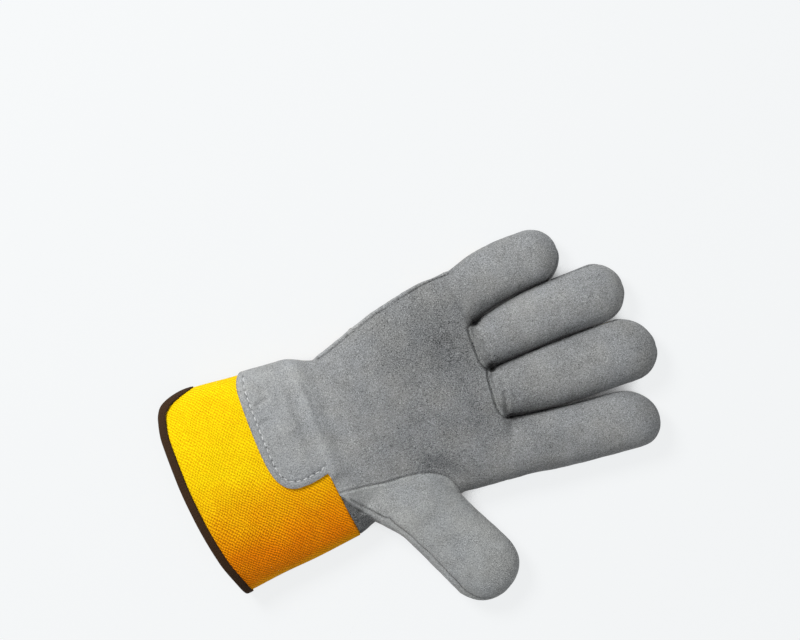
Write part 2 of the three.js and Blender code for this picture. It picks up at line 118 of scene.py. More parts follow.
THUMB_HALF = FINGER_GAP * 1.5 + FINGERS["middle"]["base"] + FINGERS["index"]["base"]
LITTLE_HALF = FINGER_GAP * 1.5 + FINGERS["ring"]["base"] + FINGERS["little"]["base"]
THUMB_ROOT = np.array((0.29 * HAND_LENGTH, -0.494 * THUMB_HALF))
THUMB_WAY = np.array((math.cos(THUMB_TURN), math.sin(THUMB_TURN)))
THUMB_LEFT = np.array((-THUMB_WAY[1], THUMB_WAY[0]))

LITTLE_SEAM = 14.7
THUMB_SEAM = 10.6
FINGER_SEAM = 6.8

# Outline of the hand: along it, half widths on the thumb's and the little finger's side, and height
THUMB_SIDE, LITTLE_SIDE, TOP = 1, 2, 3
HAND_ROWS = np.array((
    (0, 0.938, 0.785, 1.13), (0.07, 0.91, 0.742, 1.08), (0.15, 0.866, 0.7, 1.0),
    (0.22, 0.87, 0.727, 1.04), (0.3, 0.875, 0.768, 1.05), (0.42, 0.88, 0.834, 1.04),
    (0.6, 0.918, 0.91, 1.02), (0.76, 0.95, 0.962, 0.99), (0.9, 0.98, 0.985, 0.94),
    (0.965, 0.995, 0.985, 0.9), (1.006, 1.0, 0.985, 0.72),
))
# Shallow dents in the palm: along, across, reach and depth
DENTS = ((0.78, 0.42, 0.26, 0.09), (0.55, -0.3, 0.2, 0.07))
# Mouth of the cuff: across it, and how far it sets back
MOUTH_ROWS = (
    (-1.3, 0.2), (-1.03, 0.125), (-0.93, 0.105), (-0.68, 0.055), (-0.24, 0.013), (0.1, 0), (0.5, 0.004),
    (0.72, 0.033), (0.83, 0.075), (0.89, 0.12), (0.94, 0.165), (1.2, 0.25),
)
# Seams and edges, in millimetres from the wrist seam
PATCH_EDGE = (
    (-22.5, 60), (-23.2, 51), (-25.2, 50), (-27.3, 48), (-28.8, 45), (-29.8, 41), (-30.2, 32),
    (-30.4, 20), (-30.4, 8), (-30.1, 0), (-29.4, -6.5), (-28, -12), (-25.7, -16.2), (-22.6, -19.1),
    (-18, -20.7), (-12, -21), (-6, -20.3), (-0.6, -19.3),
)
PATCH_STITCHES = (
    (-24, 47), (-25.2, 43), (-25.8, 36), (-26.1, 28), (-26.2, 18), (-26.2, 8), (-25.9, -3), (-24.9, -9.8),
    (-22.6, -14), (-18.8, -16.6), (-13.2, -17.4), (-8, -16.9), (-3, -16.2), (-0.5, -14.8),
)
PANEL_SEAM = (
    (102.5, 26.6), (99.9, 25.6), (99, 20), (98.7, 10), (99.5, 3), (101.2, 0), (100, -2), (99, -10),
    (98.3, -17), (98, -22), (99, -26), (101.6, -28.9),
)
THUMB_SEAM_LINE = (
    (-0.4, -31.2), (6, -32.5), (16, -34), (26, -36), (36, -36.8), (43, -38), (49, -39.5), (54, -42),
    (58, -45), (60.2, -48.2), (61.6, -52), (62.8, -58), (66.5, -66),
)
THUMB_STRIP = (
    (3.6, -35.9), (4.9, -36.9), (6.6, -39.1), (10.4, -43.6), (15.4, -49.4), (19.2, -53.6), (20.6, -56.6),
    (22, -61), (18.5, -60.5), (15.2, -54.4), (9, -45.6), (5, -40.8), (3, -38),
)
HEEL = (
    (1.3, -34.4), (4.4, -37.8), (6.9, -40.9), (10, -44.9), (13.6, -50), (16.9, -56.8), (17.6, -62.5),
    (3.3, -62.5), (2.8, -56), (1.9, -46), (1.1, -38),
)
STRIP_FOOT = ((0.9, -33.6), (2.9, -37.4), (5.0, -40.8), (9.4, -46.4), (14.9, -54.2), (17.2, -62.5))
INDEX_BACK_EDGE = (
    (104, -28.6), (98.9, -31.1), (94.9, -38.5), (86.7, -47.2), (75.5, -54.7), (69.4, -68.4),
)
WRIST_LINE = ((0.1, 80), (0.1, -20), (0.7, -32), (2, -46), (3.4, -60), (4.2, -75))

# How pale or dark the leather is along the hand, and in round patches: place, reach and tone
TONE_ALONG = (
    (-40, 0.3), (-14, 0.27), (-7, 0.2), (1, 0.26), (8, 0.16), (18, 0.0), (40, -0.1), (60, -0.2),
    (94, -0.2), (106, -0.1), (130, 0.0), (165, 0.03), (200, 0.06),
)
TONE_PATCHES = (
    (82, 26, 15, -0.17), (66, 36, 9, 0.05), (97, 12, 9, -0.1), (74, 6, 12, -0.05), (84, -44, 13, 0.22),
    (100, -46, 13, 0.12), (56, -38, 10, -0.14), (90, -34, 16, -0.09), (28, 22, 16, 0.05),
    (52, 0, 18, 0.04), (40, 42, 12, 0.06), (118, 42, 12, 0.05), (120, 12, 11, 0.04), (150, 44, 14, 0.04),
    (172, 14, 9, -0.06), (168, -18, 9, 0.06), (142, -12, 10, -0.05), (150, -46, 12, 0.06),
    (118, -48, 9, -0.04), (-10, 20, 9, 0.07), (-20, 2, 8, -0.06), (6, 2, 7, 0.05), (12, 34, 8, -0.06),
)
# A painted highlight along the raised ridge at the wrist and painted shade in folds and grooves: the line,
# its width and tone
LIGHT_AND_SHADE_LINES = (
    (((2.2, 42), (2, 30), (2.6, 12), (2.4, -6), (1, -18)), 2.4, 0.13),
    (((-4.4, 32), (-4.2, 24), (-4, 12), (-4.4, 0)), 2.6, -0.11),
    (((104.8, -17.2), (104, -21), (102.6, -25), (101.6, -28.4)), 0.5, -0.3),
    (((-23.6, 29), (-18, 30.8)), 0.7, -0.16),
    (((-25.6, 18.4), (-18, 19.6)), 0.7, -0.14),
    (((5.2, -37.1), (6.8, -39.2), (10.5, -43.7), (15.4, -49.4), (19.2, -53.6)), 0.5, -0.5),
)
# Hollows where the fingers part, pressed in and painted with shade: along, across, length, width and depth
CROTCHES = (
    (103.6, 0.6, 2.1, 1.6, 3.6), (104.6, 26.6, 3.4, 1.2, 2.2), (103.4, -28.2, 2.6, 1.1, 1.8),
)
FINGER_TONES = {"index": -0.05, "middle": -0.03, "ring": 0.06, "little": 0.02}

# Folds in the leather: a line, how wide and how deep, and where: 0 all round, 1 above, 2 below
FOLDS = (
    (((105.4, -13), (104.4, -18), (102.9, -23.5), (101.4, -28.6)), 1.3, 1.5, 1),
    (((104.2, 25.5), (104.9, 18), (104.9, 9), (103.8, 3)), 1.5, 0.55, 1),
    (((105.6, -2.5), (106, -8), (105.4, -13)), 1.5, 0.45, 1),
    (((47, -33), (56, -38), (62, -45), (65.5, -55)), 4.2, 1.5, 1),
    (((0.6, -35.4), (2.6, -39.4), (6, -44.4), (8.8, -48.2)), 1.3, 1.8, 0),
    (((5.4, -37.3), (10.4, -43.8), (13.4, -47.7), (18.4, -54.4)), 0.55, 0.6, 0),
    (((-23.6, 29), (-21, 30.4), (-18, 30.8), (-15, 29.6)), 1.2, 0.85, 1),
    (((-25.6, 18.4), (-22.4, 19.8), (-18, 19.6)), 1.2, 0.7, 1),
    (((-12, 40), (-9, 32), (-9.6, 24)), 1.8, 0.5, 1),
    (((-15, 10), (-11, 2), (-12, -8)), 2.2, 0.45, 1),
    (((11, 40), (10.2, 20), (10.6, 0), (11.5, -18)), 3.4, 0.4, 1),
    (((-4.6, 40), (-4.2, 20), (-4.6, 0), (-4.6, -12)), 2.4, 0.65, 1),
    (((4.4, 36), (6.6, 24), (5.2, 12), (7, -2)), 1.5, 0.4, 1),
    (((30, 30), (52, 33), (70, 28)), 7.0, 0.6, 1),
    (((72, 20), (84, 8), (90, -10)), 6.0, 0.6, 1),
    (((60, -20), (76, -30), (90, -36)), 6.0, 0.5, 1),
    (((113, -44), (120, -52), (123, -62)), 4.5, 0.5, 1),
    (((128, 26), (130, 15), (128, 4)), 4.5, 0.35, 1),
    (((136, 60), (139, 50), (137, 38)), 4.5, 0.35, 1),
    (((132, -3), (136, -16), (133, -30)), 4.5, 0.35, 1),
    (((33, -64), (42, -66), (52, -64)), 4.5, 0.45, 1),
    (((30, -76), (44, -82), (60, -78)), 5.5, 0.35, 1),
    (((26, -46), (38, -47), (48, -52)), 5.0, 0.45, 1),
)


class GloveSizes(bpy.types.PropertyGroup):
    """The sizes that give the glove its make"""

    leather: FloatProperty(
        name="Leather", description="Thickness of the split leather", default=0.0013, unit="LENGTH")
    canvas: FloatProperty(
        name="Canvas", description="Thickness of the stiffened cuff", default=0.0016, unit="LENGTH")
    cloth: FloatProperty(
        name="Cloth", description="Thickness of the back's twill", default=0.0011, unit="LENGTH")
    tape: FloatProperty(
        name="Tape", description="Thickness of the binding tape", default=0.0008, unit="LENGTH")
    tape_width: FloatProperty(
        name="Tape width", description="How far the binding reaches over the cuff", default=0.0045,
        unit="LENGTH")
    stitch: FloatProperty(
        name="Stitch", description="Length of one stitch", default=0.0025, unit="LENGTH")
    pitch: FloatProperty(
        name="Pitch", description="From one stitch to the next", default=0.0037, unit="LENGTH")
    thread: FloatProperty(
        name="Thread", description="Thickness of the thread", default=0.00055, unit="LENGTH")
    mesh: FloatProperty(
        name="Mesh", description="Size of the faces of the glove's skin", default=0.00075, unit="LENGTH")


class GloveColours(bpy.types.PropertyGroup):
    """The colours of its leathers, cloths and threads"""

    palm: FloatVectorProperty(
        name="Palm", description="Split leather of the palm", default=(0.25, 0.256, 0.256),
        subtype="COLOR")
    thumb: FloatVectorProperty(
        name="Thumb", description="Paler split of the thumb and patch", default=(0.3, 0.309, 0.307),
        subtype="COLOR")
    canvas: FloatVectorProperty(
        name="Canvas", description="Yellow canvas of the cuff", default=(0.96, 0.68, 0.002),
        subtype="COLOR")
    # The orange that stands for painted shade on the cuff's thumb side; the back's twill takes a little of
    # it evenly
    shade: FloatVectorProperty(
        name="Shade", description="Deeper dye of the canvas", default=(1.0, 0.262, 0.001),
        subtype="COLOR")
    cloth: FloatVectorProperty(
        name="Cloth", description="Yellow twill of the back", default=(0.95, 0.64, 0.002),
        subtype="COLOR")
    tape: FloatVectorProperty(
        name="Tape", description="Dark brown binding", default=(0.048, 0.026, 0.014), subtype="COLOR")
    thread: FloatVectorProperty(
        name="Thread", description="Pale grey sewing thread", default=(0.68, 0.69, 0.69), subtype="COLOR")
    floor: FloatVectorProperty(
        name="Floor", description="Pale studio floor", default=(0.89, 0.905, 0.913), subtype="COLOR")


def sizes():
    return bpy.context.scene.glove_sizes


def colours():
    return bpy.context.scene.glove_colours


# Drawing the glove's form


def smooth(share):
    share = np.clip(share, 0.0, 1.0)
    return share * share * (3 - 2 * share)


def bell(off, width):
    return np.exp(-(off / width) ** 2)


def through(rows, at):
    """A smooth curve through rows of (place, value) that never overshoots them."""
    rows = np.asarray(rows, float)
    x, y = rows[:, 0], rows[:, 1]
    step = np.diff(y) / np.diff(x)
    slope = np.zeros(len(x))
    same = step[:-1] * step[1:] > 0
    slope[1:-1] = np.where(same, 2 * step[:-1] * step[1:] / np.where(same, step[:-1] + step[1:], 1), 0)
    slope[0], slope[-1] = step[0], step[-1]
    at = np.clip(at, x[0], x[-1])
    k = np.clip(np.searchsorted(x, at) - 1, 0, len(x) - 2)
    width = x[k + 1] - x[k]
    t = (at - x[k]) / width
    bend = (1 + 2 * t) * (1 - t) ** 2 * y[k] + t * t * (3 - 2 * t) * y[k + 1]
    return bend + width * (t * (1 - t) ** 2 * slope[k] - t * t * (1 - t) * slope[k + 1])


def hand_row(column, along):
    return through(HAND_ROWS[:, (0, column)], along)


def section(left, right, low, wide, high, sides, full, fall=None, flat=1.3, leaning=0.0):
    """One section of a filled-out tube that lies on a table: full above, pressed flat below."""
    turn = np.linspace(0, 2 * np.pi, sides, endpoint=False)
    c, s = np.cos(turn), np.sin(turn)
    corner = np.where((s >= 0) & (c < 0), fall or full, full)
    sideways = np.sign(c) * np.abs(c) ** (2 / corner)
    upright = np.abs(s) ** (2 / corner)
    widest = wide - leaning * (1 - sideways) / 2
    above = widest + (high - widest) * upright
    below = widest - (widest - low) * np.minimum(1, flat * upright)
    return (left + right) / 2 + (left - right) / 2 * sideways, np.where(s >= 0, above, below)


def finger_plan(name):
    """A finger's middle line and half width at shares of its length."""
    order = ["index", "middle", "ring", "little"]
    side = -1 if order.index(name) < 2 else 1
    inner = FINGERS["middle" if side < 0 else "ring"]
    size = FINGERS[name]
    outer = 0 if name in ("middle", "ring") else 1

    def swing(share):
        return 1 - np.maximum(0, 1 - np.asarray(share, float) / FULL_AT) ** 2

    def reach(column):
        return side * (FINGER_GAP * (0.5 + outer) + outer * inner[column] + size[column] / 2)

    def centre(share):
        straight = reach("base") + (reach("width") + ROW_SHIFT - reach("base")) * swing(share)
        return straight + size["bend"] * np.asarray(share, float) ** 2

    def half(share):
        return (size["base"] + (size["width"] - size["base"]) * swing(share)) / 2

    return centre, half


def gap_middle(first, second, x):
    """Where the gap between two neighbouring fingers runs."""
    edges = []
    for name, way in ((first, 1), (second, -1)):
        centre, half = finger_plan(name)
        share = np.clip((x - HAND_LENGTH) / FINGERS[name]["length"], 0, 0.85)
        edges.append(centre(share) + way * half(share))
    return (edges[0] + edges[1]) / 2


def spread(x, y):
    """Moves the fingers apart sideways, so that the remeshing can't weld them."""
    moved = np.array(y, float)
    amount = smooth((x - HAND_LENGTH + 12) / 9)
    for first, second in NEIGHBOURS:
        moved += amount * 1.55 * np.tanh((y - gap_middle(first, second, x)) / 0.3)
    return moved


def gathered(x, y):
    """Brings the fingers back together: the inverse of spread."""
    low, high = y - 6.0, y + 6.0
    for _ in range(36):
        mid = (low + high) / 2
        over = spread(x, mid) > y
        high = np.where(over, mid, high)
        low = np.where(over, low, mid)
    return (low + high) / 2


def cuff_ring(x, grow, sides):
    share = -x / CUFF_LENGTH
    part = min(1.0, max(0.0, share))
    top = PALM_HEIGHT * HAND_ROWS[0, TOP]
    return section(
        left=LITTLE_HALF * HAND_ROWS[0, LITTLE_SIDE] + LITTLE_FLARE * share + grow,
        right=-THUMB_HALF * HAND_ROWS[0, THUMB_SIDE] - THUMB_FLARE * share - grow,
        low=REST_RISE - grow,
        wide=REST_RISE + (PALM_HEIGHT + (MOUTH_HEIGHT - PALM_HEIGHT) * share * 0.6) * 0.44,
        high=REST_RISE + top + (MOUTH_HEIGHT - top) * share + grow,
        sides=sides,
        full=2.8 - 0.3 * part,
        fall=1.75,
        leaning=1.6 + 3.4 * part,
    )


def hand_ring(x, grow, sides):
    along = min(max(x / HAND_LENGTH, 0), HAND_ROWS[-1, 0])
    high = REST_RISE + PALM_HEIGHT * hand_row(TOP, along)
    wide = REST_RISE + PALM_HEIGHT * 0.44
    across, height = section(
        left=LITTLE_HALF * hand_row(LITTLE_SIDE, along) + grow,
        right=-THUMB_HALF * hand_row(THUMB_SIDE, along) - grow,
        low=REST_RISE - grow, wide=wide, high=high + grow, sides=sides, full=2.8,
        fall=1.75 + 0.75 * along, leaning=1.6)
    above = np.clip((height - wide) / (high - wide), 0, 1)
    for place, side, reach, depth in DENTS:
        middle = side * (THUMB_HALF if side < 0 else LITTLE_HALF)
        far = np.hypot(x - place * HAND_LENGTH, across - middle) / (reach * HAND_LENGTH)
        height = height - above * depth * PALM_HEIGHT * np.exp(-far * far)
    below = np.clip((wide - height) / (wide - REST_RISE), 0, 1)
    return across, height + smooth(below) * wrist_hollow(along)


def wrist_hollow(along):
    """How far the hand's underside lifts off the table beside the wrist."""
    return 0.13 * PALM_HEIGHT * bell(along - 0.22, 0.085)


def hand_rings():
    """The hand, with a layer over the cuff's end that the wrist patch is cut from."""
    rings = []
    for x in np.concatenate((np.linspace(-44, 88, 67), np.linspace(90, HAND_LENGTH + 0.6, 10))):
        ring = cuff_ring if x < 0 else hand_ring
        across, height = ring(x, 0, 144)
        wider, higher = ring(x, 1.78, 144)
        over_seam = smooth((height - LITTLE_SEAM + 4) / 3)
        share = smooth((11 - x) / 9) * smooth((across + 25) / 4.5) * over_seam
        share = share * (1 - 0.26 * smooth((across - 40) / 8))
        across = across + (wider - across) * share
        height = height + (higher - height) * share
        rings.append(np.stack((np.full(144, x), spread(np.full(144, x), across), height), 1))
    return np.array(rings)


def finger_rings(name):
    size = FINGERS[name]
    centre, half = finger_plan(name)
    tip = size["width"] / 2
    round_from = 1 - tip / size["length"]
    places = [(share, share, 1.0) for share in np.linspace(-0.16, round_from, 34)[:-1]]
    for turn in np.radians(np.linspace(0, 87, 16)):
        share = round_from + tip / size["length"] * math.sin(turn)
        places.append((share, share, math.cos(turn)))
    rings = []
    for along, share, shrink in places:
        tuck = 1 + 0.75 * min(0.0, share)
        middle = centre(max(0.0, share))
        reach = half(max(0.0, share)) * tuck * shrink
        low = REST_RISE * (1 - smooth(share / 0.3))
        wide = low + size["height"] * 0.42
        high = low + size["height"] * tuck
        across, height = section(
            left=middle + reach, right=middle - reach, low=wide - (wide - low) * shrink, wide=wide,
            high=wide + (high - wide) * shrink, sides=72, full=2.3)
        x = np.full(72, HAND_LENGTH + along * size["length"])
        rings.append(np.stack((x, spread(x, across), height), 1))
    return np.array(rings)


def thumb_rings():
    half = THUMB_WIDTH / 2
    runs = [(run, 1.0) for run in np.linspace(0.07 * THUMB_LENGTH, THUMB_LENGTH - half, 34)[:-1]]
    for turn in np.radians(np.linspace(0, 87, 16)):
        runs.append((THUMB_LENGTH - half + half * math.sin(turn), math.cos(turn)))
    rings = []
    for run, shrink in runs:
        share = run / THUMB_LENGTH
        lift = THUMB_ROOT_RISE * (1 - share)
        wide = lift + THUMB_HEIGHT * 0.48
        tuck = 1 - 0.24 * smooth(1 - share * 3.2)
        wider = THUMB_WIDTH * THUMB_ROOT_SPREAD * smooth(1 - share * 2.6)
        across, height = section(
            left=half * shrink, right=-(half + wider) * shrink, low=wide - (wide - lift) * shrink,
            wide=wide, high=wide + (lift + THUMB_HEIGHT * tuck - wide) * shrink, sides=80, full=2.3,
            flat=1.1)
        plan = THUMB_ROOT + run * THUMB_WAY + across[:, None] * THUMB_LEFT
        rings.append(np.column_stack((plan, height)))
    return np.array(rings)


# Working on meshes


def deselect():
    if bpy.context.object and bpy.context.object.mode != "OBJECT":
        bpy.ops.object.mode_set(mode="OBJECT")
    bpy.ops.object.select_all(action="DESELECT")


def pick(piece):
    deselect()
    piece.select_set(True)
    bpy.context.view_layer.objects.active = piece


def named(name):
    piece = bpy.context.object
    piece.name = name
    piece.data.name = name
    return piece


def points_of(mesh):
    flat = np.empty(len(mesh.vertices) * 3)
    mesh.vertices.foreach_get("co", flat)
    return flat.reshape(-1, 3)


def normals_of(mesh):
    flat = np.empty(len(mesh.vertices) * 3, np.float32)
    mesh.vertices.foreach_get("normal", flat)
    return flat.reshape(-1, 3)


def set_points(mesh, points):
    mesh.vertices.foreach_set("co", np.ascontiguousarray(points, np.float32).ravel())
    mesh.update()


def framed(points):
    return (points - MIDDLE) * MM


def drawn(points):
    return points / MM + MIDDLE


def drawn_points(piece):
    return drawn(points_of(piece.data))


def finish_modifier(piece, modifier):
    pick(piece)
    bpy.ops.object.modifier_apply(modifier=modifier.name)


def laid_grid(name, places, uvs=None):
    """A grid primitive whose points are laid on a surface, given as rows of places."""
    rows, columns = places.shape[:2]
    deselect()
    bpy.ops.mesh.primitive_grid_add(x_subdivisions=columns - 1, y_subdivisions=rows - 1, size=2)
    piece = named(name)
    start = points_of(piece.data)
    column = np.rint((start[:, 0] + 1) / 2 * (columns - 1)).astype(int)
    row = np.rint((start[:, 1] + 1) / 2 * (rows - 1)).astype(int)
    set_points(piece.data, framed(places[row, column]))
    if uvs is not None:
        corner = np.empty(len(piece.data.loops), int)
        piece.data.loops.foreach_get("vertex_index", corner)
        layer = piece.data.uv_layers[0]
        layer.data.foreach_set("uv", uvs[row[corner], column[corner]].astype(np.float32).ravel())
    return piece


def edit(piece, *steps):
    pick(piece)
    bpy.ops.object.mode_set(mode="EDIT")
    for step in steps:
        bpy.ops.mesh.select_all(action="SELECT")
        step()
    bpy.ops.object.mode_set(mode="OBJECT")


def merge_doubles():
    bpy.ops.mesh.remove_doubles(threshold=1e-6)


def outwards():
    bpy.ops.mesh.normals_make_consistent(inside=False)


def tube(name, rings):
    """A closed tube: a grid laid round its rings, its long edge merged and its ends filled."""
    closed = np.concatenate((rings, rings[:, :1]), 1)
    ends = [np.repeat(closed[k].mean(0)[None, None], closed.shape[1], 1) for k in (0, -1)]
    piece = laid_grid(name, np.concatenate((ends[0], closed, ends[1]), 0))
    edit(piece, merge_doubles, outwards)
    return piece


def prism(name, outline, low=-60.0, high=90.0):
    """A cutter: an upright prism over an outline seen from above."""
    outline = np.asarray(outline, float)
    deselect()
    bpy.ops.mesh.primitive_circle_add(vertices=len(outline), radius=1, fill_type="NGON")
    piece = named(name)
    set_points(piece.data, framed(np.column_stack((outline, np.full(len(outline), low)))))
    return pulled(piece, (high - low) * MM)


def pulled(piece, height):
    """A cutter made of a flat sheet by pulling it up or down."""
    def pull():
        bpy.ops.mesh.extrude_region_move(TRANSFORM_OT_translate={"value": (0, 0, height)})

    edit(piece, pull, outwards)
    return as_cutter(piece)


def as_cutter(piece):
    """Marks a cutter's faces, so that the walls it leaves can be taken out again."""
    piece.data.materials.clear()
    piece.data.materials.append(plain("skin"))
    piece.data.materials.append(plain("cut"))
    piece.data.polygons.foreach_set("material_index", np.ones(len(piece.data.polygons), np.int32))
    return piece


def plain(name):
    return bpy.data.materials.get(name) or bpy.data.materials.new(name)


def remove(*pieces):
    for piece in pieces:
        mesh = piece.data
        bpy.data.objects.remove(piece)
        bpy.data.meshes.remove(mesh)


def copy_of(piece, name):
    twin = piece.copy()
    twin.data = piece.data.copy()
    twin.name = twin.data.name = name
    twin.hide_set(False)
    bpy.context.collection.objects.link(twin)
    return twin


def carve(piece, cutter, operation):
    modifier = piece.modifiers.new("cut", "BOOLEAN")
    modifier.solver = "MANIFOLD"
    modifier.operation = operation
    modifier.object = cutter
    modifier.material_mode = "INDEX"
    finish_modifier(piece, modifier)
    if not piece.data.polygons:
        raise RuntimeError(piece.name + " came out empty after " + cutter.name)


def joined(name, first, *others):
    """One cutter out of several."""
    whole = copy_of(first, name)
    for other in others:
        carve(whole, other, "UNION")
    return as_cutter(whole)


def distance_to(line, points):
    """How far points, seen from above, lie from a line, where along it, and on which side."""
    line = np.asarray(line, float)
    best = np.full(len(points), 1e9)
    where = np.zeros(len(points))
    side = np.zeros(len(points))
    lengths = np.hypot(*np.diff(line, axis=0).T)
    total, run = lengths.sum(), 0.0
    for start, end, length in zip(line[:-1], line[1:], lengths):
        way = (end - start) / length
        offset = points[:, :2] - start
        t = np.clip(offset @ way, 0, length)
        away = offset - t[:, None] * way
        far = np.hypot(away[:, 0], away[:, 1])
        closer = far < best
        best = np.where(closer, far, best)
        where = np.where(closer, (run + t) / total, where)
        cross = way[0] * offset[:, 1] - way[1] * offset[:, 0]
        side = np.where(closer, np.sign(cross), side)
        run += length
    return best, where, side


def curve_through(rows, count):
    """Even places on a smooth curve through rows of places."""
    rows = np.asarray(rows, float)
    run = np.concatenate(([0], np.cumsum(np.hypot(*np.diff(rows[:, :2], axis=0).T))))
    fine = np.linspace(0, run[-1], 40 * len(rows))
    curve = np.stack([through(np.column_stack((run, column)), fine) for column in rows.T], 1)
    length = np.concatenate(([0], np.cumsum(np.hypot(*np.diff(curve[:, :2], axis=0).T))))
    even = np.linspace(0, length[-1], count)
    return np.stack([np.interp(even, length, column) for column in curve.T], 1)


# The seams' levels and the cutters that part the pieces


def side_seam_level(x, y):
    """Height of the seams along the glove's sides and round its fingertips."""
    slope = (LITTLE_SEAM - THUMB_SEAM) / (LITTLE_HALF + THUMB_HALF)
    palm = THUMB_SEAM + slope * (y + THUMB_HALF)
    level = palm + (FINGER_SEAM - palm) * smooth((x / HAND_LENGTH - 0.6) / 0.37)
    for name in FINGERS:
        centre, half = finger_plan(name)
        share = (x - HAND_LENGTH) / FINGERS[name]["length"]
        inside = np.clip(share, 0, 1)
        off = centre(inside) - y
        near = smooth((1.25 * half(0.8) - np.abs(off)) / 4)
        lean = smooth((np.clip(off / half(inside), -1, 1) + 0.3) / 0.9)
        level = level + 4.9 * near * smooth((share - 0.66) / 0.2) * (0.12 + 0.88 * lean)
    beside_thumb = smooth((-37 - y) / 3) * smooth((24 - x) / 5)
    level = level + (4.2 + wrist_hollow(x / HAND_LENGTH) - level) * beside_thumb
    level = level - 5.8 * smooth((y - 22) / 14) * smooth((x + 0.5) / 2.5) * smooth((19 - x) / 4)
    return level + 0.25 * np.sin(x / 9.0) + 0.2 * np.sin(y / 7.0 + 1)


def seam_room(name, way, level_at, x, y, reach):
    """A cutter: the space above or below a seam, as far as it reaches."""
    across, along = np.meshgrid(np.linspace(*y), np.linspace(*x))
    level = level_at(along, across) + way * SEAM_GAP
    return pulled(laid_grid(name, np.stack((along, across, level), 2)), way * reach)


def side_room(name, way):
    """All that lies above or below the seams along the glove's sides."""
    return seam_room(name, way, side_seam_level, (-70, 210, 281), (-120, 90, 141), 0.1)


def thumb_seam_level(x, y):
    """Height of the seam round the thumb. It runs higher on the wrist's side."""
    plan = np.stack((x - THUMB_ROOT[0], y - THUMB_ROOT[1]), -1)
    run, aside = plan @ THUMB_WAY, plan @ THUMB_LEFT
    lift = THUMB_ROOT_RISE * (1 - run / THUMB_LENGTH) + THUMB_HEIGHT * 0.48 + THUMB_SEAM_RISE
    return lift + math.tan(THUMB_SEAM_TILT) * aside - 2.2 * smooth((run / THUMB_LENGTH - 0.74) / 0.25)


def grown(outline, distance):
    """An outline moved out on all sides."""
    outline = np.asarray(outline, float)
    following = np.roll(outline, -1, 0)
    area = 0.5 * np.sum(outline[:, 0] * following[:, 1] - following[:, 0] * outline[:, 1])
    before = outline - np.roll(outline, 1, 0)
    after = following - outline
    way = before / np.hypot(*before.T)[:, None] + after / np.hypot(*after.T)[:, None]
    way /= np.maximum(np.hypot(*way.T), 1e-6)[:, None]
    out = np.column_stack((way[:, 1], -way[:, 0])) * (1 if area > 0 else -1)
    return outline + out * distance


def beside_finger(name, side):
    """A line along the edge of a finger."""
    centre, half = finger_plan(name)
    shares = np.array((0.06, 0.2, 0.4, 0.6, 1.1))
    x = HAND_LENGTH + shares * FINGERS[name]["length"]
    return np.column_stack((x, centre(shares) + side * (half(shares) + FINGER_GAP / 2)))


def panel_outline():
    seam = curve_through(PANEL_SEAM, 60)
    return np.concatenate((seam, beside_finger("middle", -1), beside_finger("ring", 1)[::-1]))


def thumb_outline():
    margin = 6
    side = THUMB_WIDTH / 2 + margin
    tip = THUMB_LENGTH + margin
    corners = ((THUMB_LENGTH * 0.55, side), (tip, side), (tip, -side), (THUMB_LENGTH * 0.5, -side))
    return np.concatenate((
        curve_through(THUMB_SEAM_LINE, 60),
        [THUMB_ROOT + THUMB_WAY * run + THUMB_LEFT * aside for run, aside in corners],
        [(17, -56.5), (10, -44.5), (4.5, -37.2), (1.2, -33.8)],
    ))


def hand_side_outline():
    along = np.linspace(-0.6, 0.62, 40)
    edge = -THUMB_HALF * hand_row(THUMB_SIDE, np.clip(along, 0, 1)) - 0.1
    line = np.column_stack((along * HAND_LENGTH, edge))
    return np.concatenate((line, [(66, -150), (-62, -150)]))


# The skin that the leather and cloth pieces are cut from


def pressed_lines(points, normals):
    """How deep the seams and folds press the skin in at its points."""
    x, y, z = points.T
    depth = np.zeros(len(points))
    upper = smooth((normals[:, 2] + 0.15) / 0.5)
    lower = smooth((-normals[:, 2] + 0.15) / 0.5)

    def pinch(line, width, deep, facing, shoulder=0.3, fade=0.05):
        far, where, _ = distance_to(curve_through(line, 40), points)
        ends = smooth(where / fade) * smooth((1 - where) / fade)
        rise = shoulder * deep * bell(far - 2.1 * width, width)
        return facing * ends * (deep * bell(far, width) - rise)

    depth += pinch(PANEL_SEAM, 0.65, 0.75, upper, 0.4)
    depth += pinch(THUMB_SEAM_LINE[:-1], 0.65, 0.55, upper, 0.35)
    depth += pinch(side_groove(), 0.6, 0.8, upper, 0.2)
    for along, across, length, width, deep in CROTCHES:
        depth += upper * deep * np.exp(-((x - along) / length) ** 2 - ((y - across) / width) ** 2)
    for line, width, deep, side in FOLDS:
        facing = (1.0, upper, lower)[side]
        depth += pinch(line, width, deep, facing, 0.18, 0.12 if width < 2 else 0.38)
    beside = smooth((0.92 - np.abs(normals[:, 2])) / 0.2)
    off = np.abs(z - side_seam_level(x, y))
    hand = np.where(thumb_share(points) > 0.5, 0.0, 1.0)
    depth += hand * beside * smooth(x / 6) * (0.75 * bell(off, 0.95) - 0.2 * bell(off - 2.2, 1.0))
    off = np.abs(z - thumb_seam_level(x, y))
    depth += (1 - hand) * (0.8 * bell(off, 0.9) - 0.2 * bell(off - 2.1, 1.0))
    far = distance_to(curve_through(INDEX_BACK_EDGE, 40), points)[0]
    depth += lower * 0.6 * bell(far, 0.9)
    return depth


def side_groove():
    """The line along the little finger's side where the palm meets the welt."""
    x = np.linspace(17, 101, 24)
    return np.column_stack((x, LITTLE_HALF * hand_row(LITTLE_SIDE, x / HAND_LENGTH) - 0.7))


